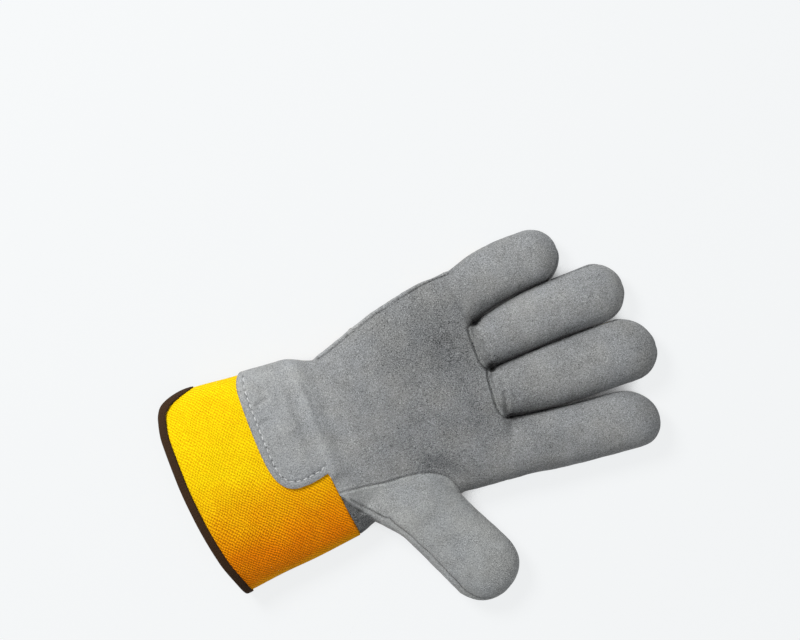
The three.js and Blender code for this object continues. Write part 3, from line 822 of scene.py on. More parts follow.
def leather_tone(points, normals, thumb):
    """How pale or dark the leather is: the bare split's own tone, with painted shade in its hollows, gaps,
    recesses and seams and a painted highlight on its ridge.
    """
    x, y, z = points.T
    tone = through(TONE_ALONG, x)
    for name, change in FINGER_TONES.items():
        centre, half = finger_plan(name)
        share = np.clip((x - HAND_LENGTH) / FINGERS[name]["length"], 0, 1)
        inside = smooth((half(share) + 0.6 - np.abs(y - centre(share))) / 1.2)
        tone += change * inside * smooth((x - HAND_LENGTH) / 8)
    for along, across, reach, change in TONE_PATCHES:
        tone += change * np.exp(-((x - along) ** 2 + (y - across) ** 2) / reach ** 2)
    # Painted shade deep in the gaps between the fingers, and more widely down the lower side of the finger
    # above each gap
    for first, second in NEIGHBOURS:
        off = y - gap_middle(first, second, x)
        reach = 1.15 + 0.7 * smooth((116 - x) / 14)
        near = smooth((x - HAND_LENGTH - 0.4) / 1.6) * smooth((168 - x) / 22)
        tone -= near * (0.95 * bell(off, reach) + 0.3 * (off > 0) * bell(off, 6.0))
    # Painted shade in the hollows where the fingers part
    for along, across, length, width, _ in CROTCHES:
        tone -= 0.7 * np.exp(-(((x - along) / length) ** 2 + ((y - across) / width) ** 2) ** 2)
    if thumb:
        tone = 0.02 + 0.06 * bell(y + 70, 12) - 0.05 * bell(y + 48, 9)
    # A painted highlight on the ridge and painted shade in folds and grooves
    for line, width, change in LIGHT_AND_SHADE_LINES:
        tone += change * np.exp(-(distance_to(curve_through(line, 24), points)[0] / width) ** 2)
    # Painted shade in the recess beside the wrist, under the thumb's rolled edge
    far, _, side = distance_to(STRIP_FOOT, points)
    recess_shade = smooth(0.5 - side * far / 0.9) * (x > -2) * (x < 20) * (y > -63) * (y < -33)
    tone = tone * (1 - recess_shade) - 0.55 * recess_shade
    # Painted shade in the seam grooves on the faces that look up, and along the side and thumb seams
    faces_up = smooth((normals[:, 2] + 0.1) / 0.4)
    seams = ((PANEL_SEAM, 0.42, 0.3), (THUMB_SEAM_LINE[:-2], 0.36, 0.26), (side_groove(), 0.6, 0.5),
             (PATCH_EDGE, 0.3, 0.35))
    for line, dark, width in seams:
        far = distance_to(curve_through(line, 40), points)[0]
        tone -= faces_up * dark * bell(far, width)
    seam_width = 0.42
    if thumb:
        seam = bell(z - thumb_seam_level(x, y), seam_width) * thumb_share(points)
        seam *= smooth((0.99 - np.abs(normals[:, 2])) / 0.08)
    else:
        seam = bell(z - side_seam_level(x, y), seam_width) * (x > 4)
    darker = 0.75 if thumb else 0.5
    return tone - darker * seam


def tinted(piece, change=0.0, thumb=False):
    """Paints a leather piece with its tones, its painted shade and highlight among them."""
    points, normals = drawn_points(piece), normals_of(piece.data)
    paint(piece, "tone", leather_tone(points, normals, thumb) + change)


def thumb_share(points):
    """1 on the thumb, past the side of the hand."""
    edge = -THUMB_HALF * hand_row(THUMB_SIDE, np.clip(points[:, 0] / HAND_LENGTH, 0, 1))
    return np.where((points[:, 1] < edge) & (points[:, 0] < 82), 1.0, 0.0)


def ripples(points, normals):
    """The gathers that the elastic draws into the cloth at the back of the wrist."""
    x, y, z = points.T
    low = smooth((0.35 - normals[:, 2]) / 0.7) * smooth((14 - z) / 5)
    wander = 1.3 * np.sin(y / 17 + 0.4) + 0.8 * np.sin(y / 7.3 + x / 16)
    waves = np.cos((y + 0.25 * (x - 22) + wander) * 2 * np.pi / 6.4)
    waves += 0.45 * np.cos((y - 0.5 * (x - 22) + wander) * 2 * np.pi / 10.5 + 1)
    fade = np.exp(-np.abs((x - 22.5) / 13.0) ** 2.4)
    fans = 0.35 * np.exp(-np.abs((x - 27) / 26.0) ** 2.2)
    return low * 0.75 * (0.75 * fade + fans) * waves


def smoothed(piece, factor, iterations, group=""):
    softer = piece.modifiers.new("smooth", "SMOOTH")
    softer.factor = factor
    softer.iterations = iterations
    softer.vertex_group = group
    finish_modifier(piece, softer)


@cache
def skin():
    """The whole hand, with its patch, fingers and thumb, as one fine closed mesh."""
    coarser, all_over, at_the_root = ((1.0, 18, 60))
    parts = [tube("hand", hand_rings()), tube("thumb", thumb_rings())]
    parts += [tube(name, finger_rings(name)) for name in FINGERS]
    deselect()
    for part in parts:
        part.select_set(True)
    bpy.context.view_layer.objects.active = parts[0]
    bpy.ops.object.join()
    whole = named("skin")
    remesh = whole.modifiers.new("remesh", "REMESH")
    remesh.mode = "VOXEL"
    remesh.voxel_size = sizes().mesh * coarser
    finish_modifier(whole, remesh)
    smoothed(whole, 0.5, all_over)
    points = drawn_points(whole)
    x, y, z = points.T
    root = np.exp(-((x - 22) / 13) ** 2 - ((y + 45) / 9) ** 2) * smooth((z - 13.5) / 4)
    group = whole.vertex_groups.new(name="thumb_root")
    for index in np.nonzero(root > 0.02)[0]:
        group.add([int(index)], float(root[index]), "REPLACE")
    smoothed(whole, 0.9, at_the_root, group.name)
    points = drawn_points(whole)
    points[:, 1] = gathered(points[:, 0], points[:, 1])
    set_points(whole.data, framed(points))
    thumb = thumb_share(points)
    fuller = np.where(thumb > 0.5, 0.2, 0.42 * smooth((points[:, 0] - HAND_LENGTH - 3) / 16))
    points += normals_of(whole.data) * fuller[:, None]
    plan = points[:, :2] - THUMB_ROOT
    wider = thumb * smooth(plan @ THUMB_LEFT / 14) * smooth((plan @ THUMB_WAY / THUMB_LENGTH - 0.5) / 0.3)
    points[:, :2] += wider[:, None] * THUMB_LEFT
    set_points(whole.data, framed(points))
    for scale, strength in ((0.024, 0.0011), (0.009, 0.00035)):
        texture = bpy.data.textures.new("unevenness", "CLOUDS")
        texture.noise_scale = scale
        uneven = whole.modifiers.new("uneven", "DISPLACE")
        uneven.texture = texture
        uneven.texture_coords = "LOCAL"
        uneven.strength = strength
        uneven.mid_level = 0.5
        finish_modifier(whole, uneven)
        bpy.data.textures.remove(texture)
    points, normals = drawn_points(whole), normals_of(whole.data)
    points -= normals * pressed_lines(points, normals)[:, None]
    points += normals * ripples(points, normals)[:, None]
    hand_rest, tip_rest, give = 1.55, 0.15, 0.06
    floor = hand_rest + (tip_rest - hand_rest) * smooth((points[:, 0] - HAND_LENGTH) / 20)
    floor = np.where(thumb_share(points) > 0.5, tip_rest, floor)
    points[:, 2] = np.where(points[:, 2] < floor, floor + give * (points[:, 2] - floor), points[:, 2])
    set_points(whole.data, framed(points))
    whole.data.materials.clear()
    whole.data.materials.append(plain("skin"))
    whole.data.materials.append(plain("cut"))
    whole.hide_set(True)
    return whole


@cache
def cutters():
    """The rooms of the glove's pieces."""
    rooms = {
        "above": side_room("above", 1),
        "below": side_room("below", -1),
        "panel": prism("panel", panel_outline()),
        "panel_wide": prism("panel_wide", grown(panel_outline(), PANEL_GAP)),
        "beside_hand": prism("beside_hand", hand_side_outline()),
        "thumb": prism("thumb_plan", thumb_outline()),
        "thumb_wide": prism("thumb_plan_wide", grown(thumb_outline(), PANEL_GAP)),
        "thumb_low": seam_room(
            "thumb_low", -1, thumb_seam_level, (-60, 110, 60), (-130, 20, 60), 0.15),
        "heel": prism("heel", HEEL),
        "strip": prism("strip", THUMB_STRIP),
        "strip_wide": prism("strip_wide", grown(THUMB_STRIP, SEAM_GAP)),
        "index_back": prism("index_back_plan", index_back_outline(0)),
        "index_back_wide": prism("index_back_plan_wide", index_back_outline(CLOTH_GAP)),
    }
    for name in CAPS:
        rooms["cap_" + name] = prism("cap_" + name, cap_outline(name, 0.0))
        rooms["cap_wide_" + name] = prism("cap_wide_" + name, cap_outline(name, -CLOTH_GAP))
    add_thumb_rooms(rooms)
    wrist = curve_through(WRIST_LINE, 40)
    patch = curve_through(PATCH_EDGE, 60)
    rooms["leather"] = prism("leather_plan", np.concatenate((
        patch, wrist[wrist[:, 1] < -20.5], [(140, -130), (230, -130), (230, 95), (-20, 95)])))
    rooms["hand"] = prism("hand_plan", np.concatenate((
        wrist, [(20, -150), (240, -150), (240, 110), (0.1, 110)])))
    for room in rooms.values():
        room.hide_set(True)
    return rooms


def add_thumb_rooms(rooms):
    """The thumb's rooms, which are made of the others."""
    under = copy_of(rooms["beside_hand"], "thumb_under")
    carve(under, rooms["thumb_low"], "INTERSECT")
    rooms["thumb_under"] = as_cutter(under)
    wide = copy_of(under, "thumb_under_wide")
    points = points_of(wide.data)
    points[:, 2] += 2 * SEAM_GAP * MM
    set_points(wide.data, points)
    rooms["thumb_under_wide"] = as_cutter(wide)
    for name in ("heel", "strip"):
        carve(rooms[name], rooms["above"], "INTERSECT")
        as_cutter(rooms[name])
    rooms["thumb_back"] = joined("thumb_back_room", under, rooms["strip"], rooms["heel"])


def index_back_outline(grow):
    line = curve_through(INDEX_BACK_EDGE, 40)
    line = line + np.array((-0.6, 0.8)) * grow
    return np.concatenate((line, [(69, -130), (240, -130)], beside_finger("index", 1)[::-1]))


def cap_outline(name, shift):
    centre, half = finger_plan(name)
    size = FINGERS[name]
    start = HAND_LENGTH + size["length"] - CAPS[name] + shift
    middle = float(centre(0.8))
    reach = size["width"] * 0.5 + FINGER_GAP
    share = np.linspace(-1, 1, 13)
    edge = np.column_stack((start + CAP_BOW * (1 - share ** 2), middle + share * reach))
    return np.concatenate((edge, [(240, middle + reach), (240, middle - reach)]))


def cut_out(name, keep, drop=(), grow=0.0):
    """A sheet cut out of the skin: what lies in all the rooms to keep and in none of the others."""
    rooms = cutters()
    piece = copy_of(skin(), name)
    if grow:
        points, normals = points_of(piece.data), normals_of(piece.data)
        set_points(piece.data, points + normals * grow * MM)
    for room in keep:
        carve(piece, rooms[room], "INTERSECT")
    for room in drop:
        carve(piece, rooms[room], "DIFFERENCE")
    pick(piece)
    body = bmesh.new()
    body.from_mesh(piece.data)
    walls = [face for face in body.faces if face.material_index == 1]
    bmesh.ops.delete(body, geom=walls, context="FACES")
    largest = max(islands(body), key=len)
    crumbs = [face for face in body.faces if face.index not in largest]
    bmesh.ops.delete(body, geom=crumbs, context="FACES")
    bmesh.ops.dissolve_degenerate(body, edges=body.edges, dist=2e-6)
    body.to_mesh(piece.data)
    body.free()
    piece.data.materials.clear()
    return piece


def islands(body):
    """The connected groups of a mesh's faces, as sets of their numbers."""
    body.faces.index_update()
    body.faces.ensure_lookup_table()
    seen = np.zeros(len(body.faces), bool)
    groups = []
    for start in body.faces:
        if seen[start.index]:
            continue
        group, waiting = set(), [start]
        seen[start.index] = True
        while waiting:
            face = waiting.pop()
            group.add(face.index)
            for edge in face.edges:
                for other in edge.link_faces:
                    if not seen[other.index]:
                        seen[other.index] = True
                        waiting.append(other)
        groups.append(group)
    return groups


def thicken(piece, wall):
    """Gives a sheet its wall, inwards of the skin."""
    solid = piece.modifiers.new("wall", "SOLIDIFY")
    solid.thickness = wall
    solid.offset = -1.0
    solid.use_rim = True
    finish_modifier(piece, solid)
    pick(piece)
    bpy.ops.object.shade_smooth_by_angle(angle=math.radians(42))


def stitch_count(line):
    length = np.hypot(*np.diff(np.asarray(line, float), axis=0).T).sum()
    return max(2, int(round(length * MM / sizes().pitch)))


def needle_holes(lines):
    """Where the needle went through: one hole between each stitch and the next."""
    return np.concatenate([curve_through(line, 2 * stitch_count(line) + 1)[::2] for line in lines])


def nearest(lines, points):
    """How far points, seen from above, lie from the nearest of several lines."""
    return np.minimum.reduce([distance_to(line, points)[0] for line in lines])


def holed(piece, lines, side):
    """Darkens the leather at its needle holes: painted shade for holes that the mesh does not have."""
    points, normals = drawn_points(piece), normals_of(piece.data)
    tone = np.empty(len(points), np.float32)
    piece.data.attributes["tone"].data.foreach_get("value", tone)
    close = distance_to(np.concatenate(lines), points)[0] < 2.5
    near = np.nonzero(close & (normals[:, 2] * side > 0.1))[0]
    for x, y in needle_holes(lines):
        far = np.hypot(points[near, 0] - x, points[near, 1] - y)
        # Painted shade at each needle hole
        tone[near] -= 0.75 * bell(far, 0.42)
    piece.data.attributes["tone"].data.foreach_set("value", tone)


def sewn(piece, lines):
    """Refines the leather along its rows of stitches and presses them in."""
    sheet = bmesh.new()
    sheet.from_mesh(piece.data)
    places = drawn(np.array([vertex.co for vertex in sheet.verts]))
    near = set(np.nonzero(nearest(lines, places) < 2.0)[0])
    edges = [edge for edge in sheet.edges if all(vertex.index in near for vertex in edge.verts)]
    bmesh.ops.subdivide_edges(sheet, edges=edges, cuts=1, use_grid_fill=True)
    sheet.to_mesh(piece.data)
    sheet.free()
    points, normals = drawn_points(piece), normals_of(piece.data)
    far = nearest(lines, points)
    deep, beside = 0.34, far - 1.7
    press = deep * bell(far, 0.62) - 0.3 * deep * bell(beside, 0.8)
    set_points(piece.data, framed(points - normals * press[:, None]))


def one_stitch():
    """A single stitch: a short thick thread that dips in at both ends."""
    deselect()
    bpy.ops.mesh.primitive_uv_sphere_add(segments=8, ring_count=6, radius=1)
    stitch = named("one_stitch")
    points = points_of(stitch.data)[:, (2, 0, 1)]
    points[:, 0] = np.sign(points[:, 0]) * np.abs(points[:, 0]) ** 0.8
    dip = 0.9 * points[:, 0] ** 2
    half = sizes().stitch / 2
    thick = sizes().thread / 2
    laid = np.column_stack((points[:, 0] * half, points[:, 1] * thick, (points[:, 2] * 0.9 - dip) * thick))
    faces = [tuple(face.vertices) for face in stitch.data.polygons]
    remove(stitch)
    return laid, faces


def stitch_row(name, lines, piece, side, lift):
    """Rows of stitches laid on a piece, from above or from below."""
    laid, faces = one_stitch()
    tree = BVHTree.FromObject(piece, bpy.context.evaluated_depsgraph_get())
    points, polygons = [], []
    order = np.random.default_rng(7)
    for line in lines:
        line = np.asarray(line, float)
        count = stitch_count(line)
        even = curve_through(line, 2 * count + 1)
        for k in range(count):
            middle, ahead = even[2 * k + 1], even[2 * k + 2]
            top = framed(np.array((middle[0], middle[1], 0.0))) + (0, 0, side * 0.1)
            spot, normal, _, _ = tree.ray_cast(Vector(top), Vector((0, 0, -side)))
            if spot is None:
                continue
            way = Vector(((ahead - middle)[0], (ahead - middle)[1], 0)).normalized()
            way.rotate(Matrix.Rotation(order.normal(0, 0.07), 3, "Z"))
            normal = normal if normal.z * side > 0 else -normal
            way = (way - normal * way.dot(normal)).normalized()
            aside = normal.cross(way)
            turn = np.array((way, aside, normal))
            stretch = 1 + order.normal(0, 0.05)
            start = len(points)
            place = np.array(spot) + np.array(normal) * lift * MM
            points.extend((laid * (stretch, 1, 1)) @ turn + place)
            polygons.extend(tuple(start + corner for corner in face) for face in faces)
    mesh = bpy.data.meshes.new(name)
    mesh.from_pydata([tuple(point) for point in points], [], polygons)
    row = bpy.data.objects.new(name, mesh)
    bpy.context.collection.objects.link(row)
    edit(row, outwards)
    pick(row)
    bpy.ops.object.shade_smooth()
    return row


def keep(piece, finish, slot, *nodes):
    """Gives a finished piece its material and its place in the part. Nothing sinks into the table."""
    points = points_of(piece.data)
    points[:, 2] = np.maximum(points[:, 2], TABLE_GAP)
    set_points(piece.data, points)
    piece.data.materials.clear()
    piece.data.materials.append(finish)
    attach(piece, "root")
    if nodes:
        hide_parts(*nodes)


def keep_leather(piece, finish, node, change=0.0, thumb=False):
    """Paints and keeps a leather piece that has its thickness."""
    tinted(piece, change, thumb)
    keep(piece, finish, "split_leather", node)


def keep_sheet(piece, finish, node, change=0.0, thumb=False):
    """Thickens, paints and keeps a leather sheet."""
    thicken(piece, sizes().leather)
    keep_leather(piece, finish, node, change, thumb)


def keep_sewn(piece, finish, node, rows, side, name, change=0.0, lift=0.12):
    """Keeps a leather piece that is sewn on by rows of stitches, above (1) or below (-1)."""
    sewn(piece, rows)
    keep_sheet(piece, finish, node, change)
    holed(piece, rows, side)
    keep(stitch_row(name, rows, piece, side, lift), thread(), "split_leather")


def paint(piece, name, values):
    layer = piece.data.attributes.new(name, "FLOAT", "POINT")
    layer.data.foreach_set("value", np.asarray(values, np.float32))


def cloth_layout(piece):
    """A flat layout of a cloth piece, in millimetres, for its weave."""
    points, normals = drawn_points(piece), normals_of(piece.data)
    across = points[:, 1] + np.where(normals[:, 1] > 0, 1, -1) * (points[:, 2] - REST_RISE)
    flat = np.column_stack((points[:, 0], across)).astype(np.float32)
    corner = np.empty(len(piece.data.loops), int)
    piece.data.loops.foreach_get("vertex_index", corner)
    layer = piece.data.uv_layers.new(name="weave")
    layer.data.foreach_set("uv", flat[corner].ravel())


# Materials


class Graph:
    """A short way to write down a node tree."""

    def __init__(self, tree):
        self.tree = tree

    def add(self, kind, inputs=None, **settings):
        node = self.tree.nodes.new(kind)
        for key, value in settings.items():
            setattr(node, key, value)
        for key, value in (inputs or {}).items():
            socket = node.inputs[key]
            if isinstance(value, bpy.types.NodeSocket):
                self.tree.links.new(value, socket)
            else:
                socket.default_value = value
        return node

    def maths(self, operation, *values):
        return self.add("ShaderNodeMath", dict(enumerate(values)), operation=operation).outputs[0]

    def noise(self, vector, scale, detail=3.0, rough=0.55, warp=0.0):
        node = self.add("ShaderNodeTexNoise", {
            "Vector": vector, "Scale": scale, "Detail": detail, "Roughness": rough, "Distortion": warp})
        return node.outputs["Fac"]

    def range(self, value, low, high, to_low=0.0, to_high=1.0):
        node = self.add("ShaderNodeMapRange", {
            "Value": value, "From Min": low, "From Max": high, "To Min": to_low, "To Max": to_high})
        return node.outputs["Result"]

    def mix(self, share, first, second, blend="MIX"):
        node = self.add("ShaderNodeMix", data_type="RGBA", blend_type=blend)
        for socket, value in zip((0, 6, 7), (share, first, second)):
            if isinstance(value, bpy.types.NodeSocket):
                self.tree.links.new(value, node.inputs[socket])
            else:
                node.inputs[socket].default_value = value
        return node.outputs[2]


def group(name, inputs, outputs):
    """A shader node group with named inputs and outputs, and its graph."""
    tree = bpy.data.node_groups.new(name, "ShaderNodeTree")
    kinds = {"colour": "NodeSocketColor", "vector": "NodeSocketVector", "value": "NodeSocketFloat"}
    for label, kind, default in inputs:
        socket = tree.interface.new_socket(label, in_out="INPUT", socket_type=kinds[kind])
        if default is not None:
            socket.default_value = default
    for label, kind in outputs:
        tree.interface.new_socket(label, in_out="OUTPUT", socket_type=kinds[kind])
    graph = Graph(tree)
    graph.start = tree.nodes.new("NodeGroupInput").outputs
    graph.end = tree.nodes.new("NodeGroupOutput").inputs
    return tree, graph


@cache
def suede_group():
    """Split leather: cloudy tone, short nap, and pale and dark fibre ends."""
    tree, g = group("suede", (
        ("Place", "vector", None), ("Colour", "colour", (0.2, 0.2, 0.2, 1)), ("Tone", "value", 0.0),
        ("Clouds", "value", 0.2), ("Grain", "value", 0.3)),
        (("Colour", "colour"), ("Height", "value"), ("Roughness", "value")))
    place = g.start["Place"]
    broad = g.noise(place, 46, 3, 0.55, 0.4)
    patches = g.noise(place, 150, 4, 0.62, 0.3)
    nap = g.noise(place, 1350, 3, 0.75, 0.4)
    specks = g.noise(place, 2050, 1, 0.5)
    clouds = g.maths("ADD", g.range(broad, 0.3, 0.7, -1, 1),
                     g.maths("MULTIPLY", g.range(patches, 0.3, 0.7, -1, 1), 0.75))
    grain = g.range(nap, 0.3, 0.7, -1, 1)
    pale = g.maths("SUBTRACT", g.range(specks, 0.56, 0.74, 0, 1.5), g.range(specks, 0.44, 0.28, 0, 1.2))
    tone = g.maths("ADD", g.maths("MULTIPLY", clouds, g.start["Clouds"]),
                   g.maths("MULTIPLY", g.maths("ADD", grain, pale), g.start["Grain"]))
    tone = g.maths("ADD", g.maths("ADD", tone, g.start["Tone"]), 1.0)
    hue = g.mix(g.range(g.noise(place, 50, 2, 0.5), 0.35, 0.65),
                (0.988, 0.996, 1.014, 1), (1.01, 1.0, 0.984, 1))
    cast = g.mix(1.0, g.start["Colour"], hue, "MULTIPLY")
    toned = g.add("ShaderNodeVectorMath", {0: cast, "Scale": g.maths("MAXIMUM", tone, 0.04)},
                  operation="SCALE")
    g.tree.links.new(toned.outputs[0], g.end["Colour"])
    g.tree.links.new(g.maths("ADD", nap, g.maths("MULTIPLY", specks, 0.6)), g.end["Height"])
    g.tree.links.new(g.range(patches, 0.3, 0.7, 0.88, 0.99), g.end["Roughness"])
    return tree


@cache
def weave_group():
    """A diagonal weave: raised ribs, cut across by the yarns that cross them."""
    tree, g = group("weave", (
        ("Layout", "vector", None), ("Colour", "colour", (0.9, 0.6, 0, 1)),
        ("Pits", "colour", (0.5, 0.2, 0, 1)), ("Period", "value", 1.7), ("Slant", "value", 0.9),
        ("Cross", "value", 0.5), ("Depth", "value", 0.6)),
        (("Colour", "colour"), ("Height", "value"), ("Roughness", "value")))
    scale = g.maths("DIVIDE", 2 * math.pi, g.start["Period"])
    wander = g.noise(g.start["Layout"], 0.045, 2)
    loose = g.noise(g.start["Layout"], 0.4, 3, 0.65)
    split = g.add("ShaderNodeSeparateXYZ", {0: g.start["Layout"]}).outputs
    along = g.maths("ADD", split[0], g.maths("MULTIPLY", wander, 6.0))
    across = g.maths("ADD", split[1], g.maths("MULTIPLY", loose, 2.4))
    c, s = g.maths("COSINE", g.start["Slant"]), g.maths("SINE", g.start["Slant"])
    first = g.maths("ADD", g.maths("MULTIPLY", along, c), g.maths("MULTIPLY", across, s))
    second = g.maths("SUBTRACT", g.maths("MULTIPLY", along, c), g.maths("MULTIPLY", across, s))
    ribs = g.maths("COSINE", g.maths("MULTIPLY", first, scale))
    crossing = g.maths("COSINE", g.maths("MULTIPLY", second, scale))
    ribs = g.range(ribs, -1, 1)
    crossing = g.range(crossing, -1, 1)
    both = g.maths("ADD", g.maths("MULTIPLY", ribs, g.maths("SUBTRACT", 1.0, g.start["Cross"])),
                   g.maths("MULTIPLY", crossing, g.start["Cross"]))
    yarn = g.noise(g.start["Layout"], 1.5, 3, 0.7)
    height = g.maths("ADD", both, g.maths("MULTIPLY", yarn, 0.6))
    # The pits between the ribs take the pits colour: partly the yarn's own deeper colour, partly painted
    # shade between the yarns
    pits = g.maths("MULTIPLY", g.range(both, 0.7, 0.05, 0, 1), g.start["Depth"])
    pits = g.maths("MULTIPLY", pits, g.range(yarn, 0.35, 0.65, 1.35, 0.45))
    g.tree.links.new(g.mix(pits, g.start["Colour"], g.start["Pits"]), g.end["Colour"])
    g.tree.links.new(height, g.end["Height"])
    g.tree.links.new(g.range(both, 0, 1, 0.95, 0.72), g.end["Roughness"])
    return tree


def new_material(name):
    material = bpy.data.materials.new(name)
    material.use_nodes = True
    graph = Graph(material.node_tree)
    shader = material.node_tree.nodes["Principled BSDF"]
    return material, graph, shader


def with_alpha(colour, factor=1.0):
    return (colour[0] * factor, colour[1] * factor, colour[2] * factor, 1.0)


def suede(name, colour, grain):
    material, g, shader = new_material(name)
    place = g.add("ShaderNodeTexCoord").outputs["Object"]
    leather = g.add("ShaderNodeGroup", node_tree=suede_group())
    for key, value in (("Colour", with_alpha(colour)), ("Clouds", 0.1), ("Grain", grain)):
        leather.inputs[key].default_value = value
    g.tree.links.new(place, leather.inputs["Place"])
    tone = g.add("ShaderNodeAttribute", attribute_name="tone").outputs["Fac"]
    g.tree.links.new(tone, leather.inputs["Tone"])
    g.tree.links.new(leather.outputs["Colour"], shader.inputs["Base Color"])
    g.tree.links.new(leather.outputs["Roughness"], shader.inputs["Roughness"])
    relief = g.add("ShaderNodeBump", {
        "Strength": 0.85, "Distance": 0.0006, "Height": leather.outputs["Height"]})
    g.tree.links.new(relief.outputs[0], shader.inputs["Normal"])
    shader.inputs["Sheen Weight"].default_value = 0.16
    shader.inputs["Sheen Roughness"].default_value = 0.35
    shader.inputs["Specular IOR Level"].default_value = 0.15
    return material


def woven(name, colour, deeper, pits, period, slant, cross, depth, bump):
    material, g, shader = new_material(name)
    layout = g.add("ShaderNodeUVMap", uv_map="weave").outputs[0]
    # How far the colour turns to the deeper one: the painted attribute, mostly painted shade, plus a random
    # cloudy tone
    shade = g.add("ShaderNodeAttribute", attribute_name="dye_and_painted_shade").outputs["Fac"]
    place = g.add("ShaderNodeTexCoord").outputs["Object"]
    cloud = g.range(g.noise(place, 70, 4), 0.3, 0.7, -0.09, 0.09)
    dye_and_painted_shade = g.maths("ADD", shade, cloud)
    tone = g.mix(dye_and_painted_shade, with_alpha(colour), with_alpha(deeper))
    weave = g.add("ShaderNodeGroup", node_tree=weave_group())
    for key, value in (("Pits", with_alpha(pits)), ("Period", period), ("Slant", slant),
                       ("Cross", cross)):
        weave.inputs[key].default_value = value
    # The pits run deeper where more shade is painted
    g.tree.links.new(g.range(dye_and_painted_shade, 0.0, 0.7, 0.5 * depth, depth), weave.inputs["Depth"])
    g.tree.links.new(layout, weave.inputs["Layout"])
    g.tree.links.new(tone, weave.inputs["Colour"])
    g.tree.links.new(weave.outputs["Colour"], shader.inputs["Base Color"])
    g.tree.links.new(weave.outputs["Roughness"], shader.inputs["Roughness"])
    relief = g.add("ShaderNodeBump", {
        "Strength": bump, "Distance": 0.0005, "Height": weave.outputs["Height"]})
    g.tree.links.new(relief.outputs[0], shader.inputs["Normal"])
    shader.inputs["Specular IOR Level"].default_value = 0.06
    shader.inputs["Sheen Weight"].default_value = 0.25
    shader.inputs["Sheen Roughness"].default_value = 0.4
    shader.inputs["Sheen Tint"].default_value = with_alpha(colour)
    return material


@cache
def thread():
    colour = colours().thread
    material, g, shader = new_material("thread")
    place = g.add("ShaderNodeTexCoord").outputs["Object"]
    twist = g.add("ShaderNodeTexWave", {
        "Vector": place, "Scale": 900.0, "Distortion": 1.5, "Detail": 1.0},
        wave_type="BANDS", bands_direction="DIAGONAL").outputs["Fac"]
    tone = g.mix(twist, with_alpha(colour, 0.72), with_alpha(colour, 1.12))
    g.tree.links.new(tone, shader.inputs["Base Color"])
    relief = g.add("ShaderNodeBump", {"Strength": 0.5, "Distance": 0.0002, "Height": twist})
    g.tree.links.new(relief.outputs[0], shader.inputs["Normal"])
    shader.inputs["Roughness"].default_value = 0.7
    return material


@cache
def palm_leather():
    return suede("palm_leather", colours().palm, grain=0.44)


@cache
def thumb_leather():
    return suede("thumb_leather", colours().thumb, grain=0.33)


def canvas():
    return woven(
        "diagonal_canvas", colours().canvas, colours().shade, pits=(0.46, 0.12, 0.001), period=1.42,
        slant=-0.66, cross=0.28, depth=1.0, bump=0.9)


def twill():
    return woven(
        "back_twill", colours().cloth, colours().shade, pits=(0.52, 0.17, 0.002), period=1.25,
        slant=1.2, cross=0.12, depth=0.7, bump=0.7)


def tape():
    return woven(
        "ribbed_tape", colours().tape, colours().tape, pits=(0.012, 0.007, 0.004), period=0.7,
        slant=1.35, cross=0.4, depth=0.6, bump=0.6)


# The cuff


def mouth_at(across, height):
    """How far from the wrist seam the cuff's mouth lies. It slants back down the little finger's side."""
    rows = [(share * (THUMB_HALF if share < 0 else LITTLE_HALF), (setback - 1) * CUFF_LENGTH)
            for share, setback in MOUTH_ROWS]
    return through(rows, across) + 9.5 * smooth((across - 38) / 13) * smooth((30 - height) / 15)


def wrist_at(across):
    rows = sorted((y, x) for x, y in WRIST_LINE)
    return through(rows, across)


def even_ring(x, grow, count):
    """A ring of the cuff with evenly spaced points, starting and ending under its middle."""
    across, height = cuff_ring(x, grow, 720)
    start = int(len(across) * 0.75)
    across, height = np.roll(across, -start), np.roll(height, -start)
    across, height = np.append(across, across[0]), np.append(height, height[0])
    run = np.concatenate(([0], np.cumsum(np.hypot(np.diff(across), np.diff(height)))))
    even = np.linspace(0, run[-1], count)
    return np.interp(even, run, across), np.interp(even, run, height), run[-1]


def cuff_surface(starts, ends, grow, count, rows):
    """Places on the cuff's surface between two edges, which are given by the place across."""
    table_x = np.linspace(-CUFF_LENGTH * 1.1, 9, 96)
    table = [even_ring(x, grow, count) for x in table_x]
    across = np.array([row[0] for row in table])
    height = np.array([row[1] for row in table])
    around = np.array([row[2] for row in table])
    places = np.zeros((rows, count, 3))
    layout = np.zeros((rows, count, 2))
    columns = np.arange(count)

    def at(x):
        place = np.clip((x - table_x[0]) / (table_x[1] - table_x[0]), 0, len(table_x) - 1.001)
        k = place.astype(int)
        t = place - k
        return tuple(part[k, columns] * (1 - t) + part[k + 1, columns] * t for part in (across, height))

    edges = []
    for edge in (starts, ends):
        x = np.full(count, -30.0)
        for _ in range(30):
            x = 0.5 * x + 0.5 * edge(*at(x))
        edges.append(x)
    for row in range(rows):
        share = row / (rows - 1)
        x = edges[0] + (edges[1] - edges[0]) * share
        y, z = at(x)
        places[row] = np.stack((x, y, z), 1)
        size = np.interp(x, table_x, around)
        layout[row] = np.stack((x, (columns / (count - 1) - 0.5) * (0.5 * size + 0.5 * around.mean())), 1)
    return places, layout


def painted_shade_of(points):
    """Painted shade on the canvas: how far its yellow turns towards the orange shade colour, most on the
    thumb's side of the cuff, which faces away from the light.
    """
    x, y, z = points.T
    top = smooth((z - 1) / 12)
    rim = 1 - 0.45 * smooth((20 - z) / 8)
    return top * rim * (0.04 + 0.46 * smooth((2 - y) / 30) + 0.5 * smooth((-22 - y) / 30))


def gentle_waves(points):
    """The cuff's slight unevenness."""
    x, y, z = points.T
    soft = 0.32 * np.sin(x / 11.0 + y / 19.0) * np.sin(y / 13.0 + 0.6)
    soft += 0.16 * np.sin(x / 5.3 - y / 8.1 + 1.7) * np.sin(y / 9.0)
    return soft * smooth((z - 3.5) / 4)


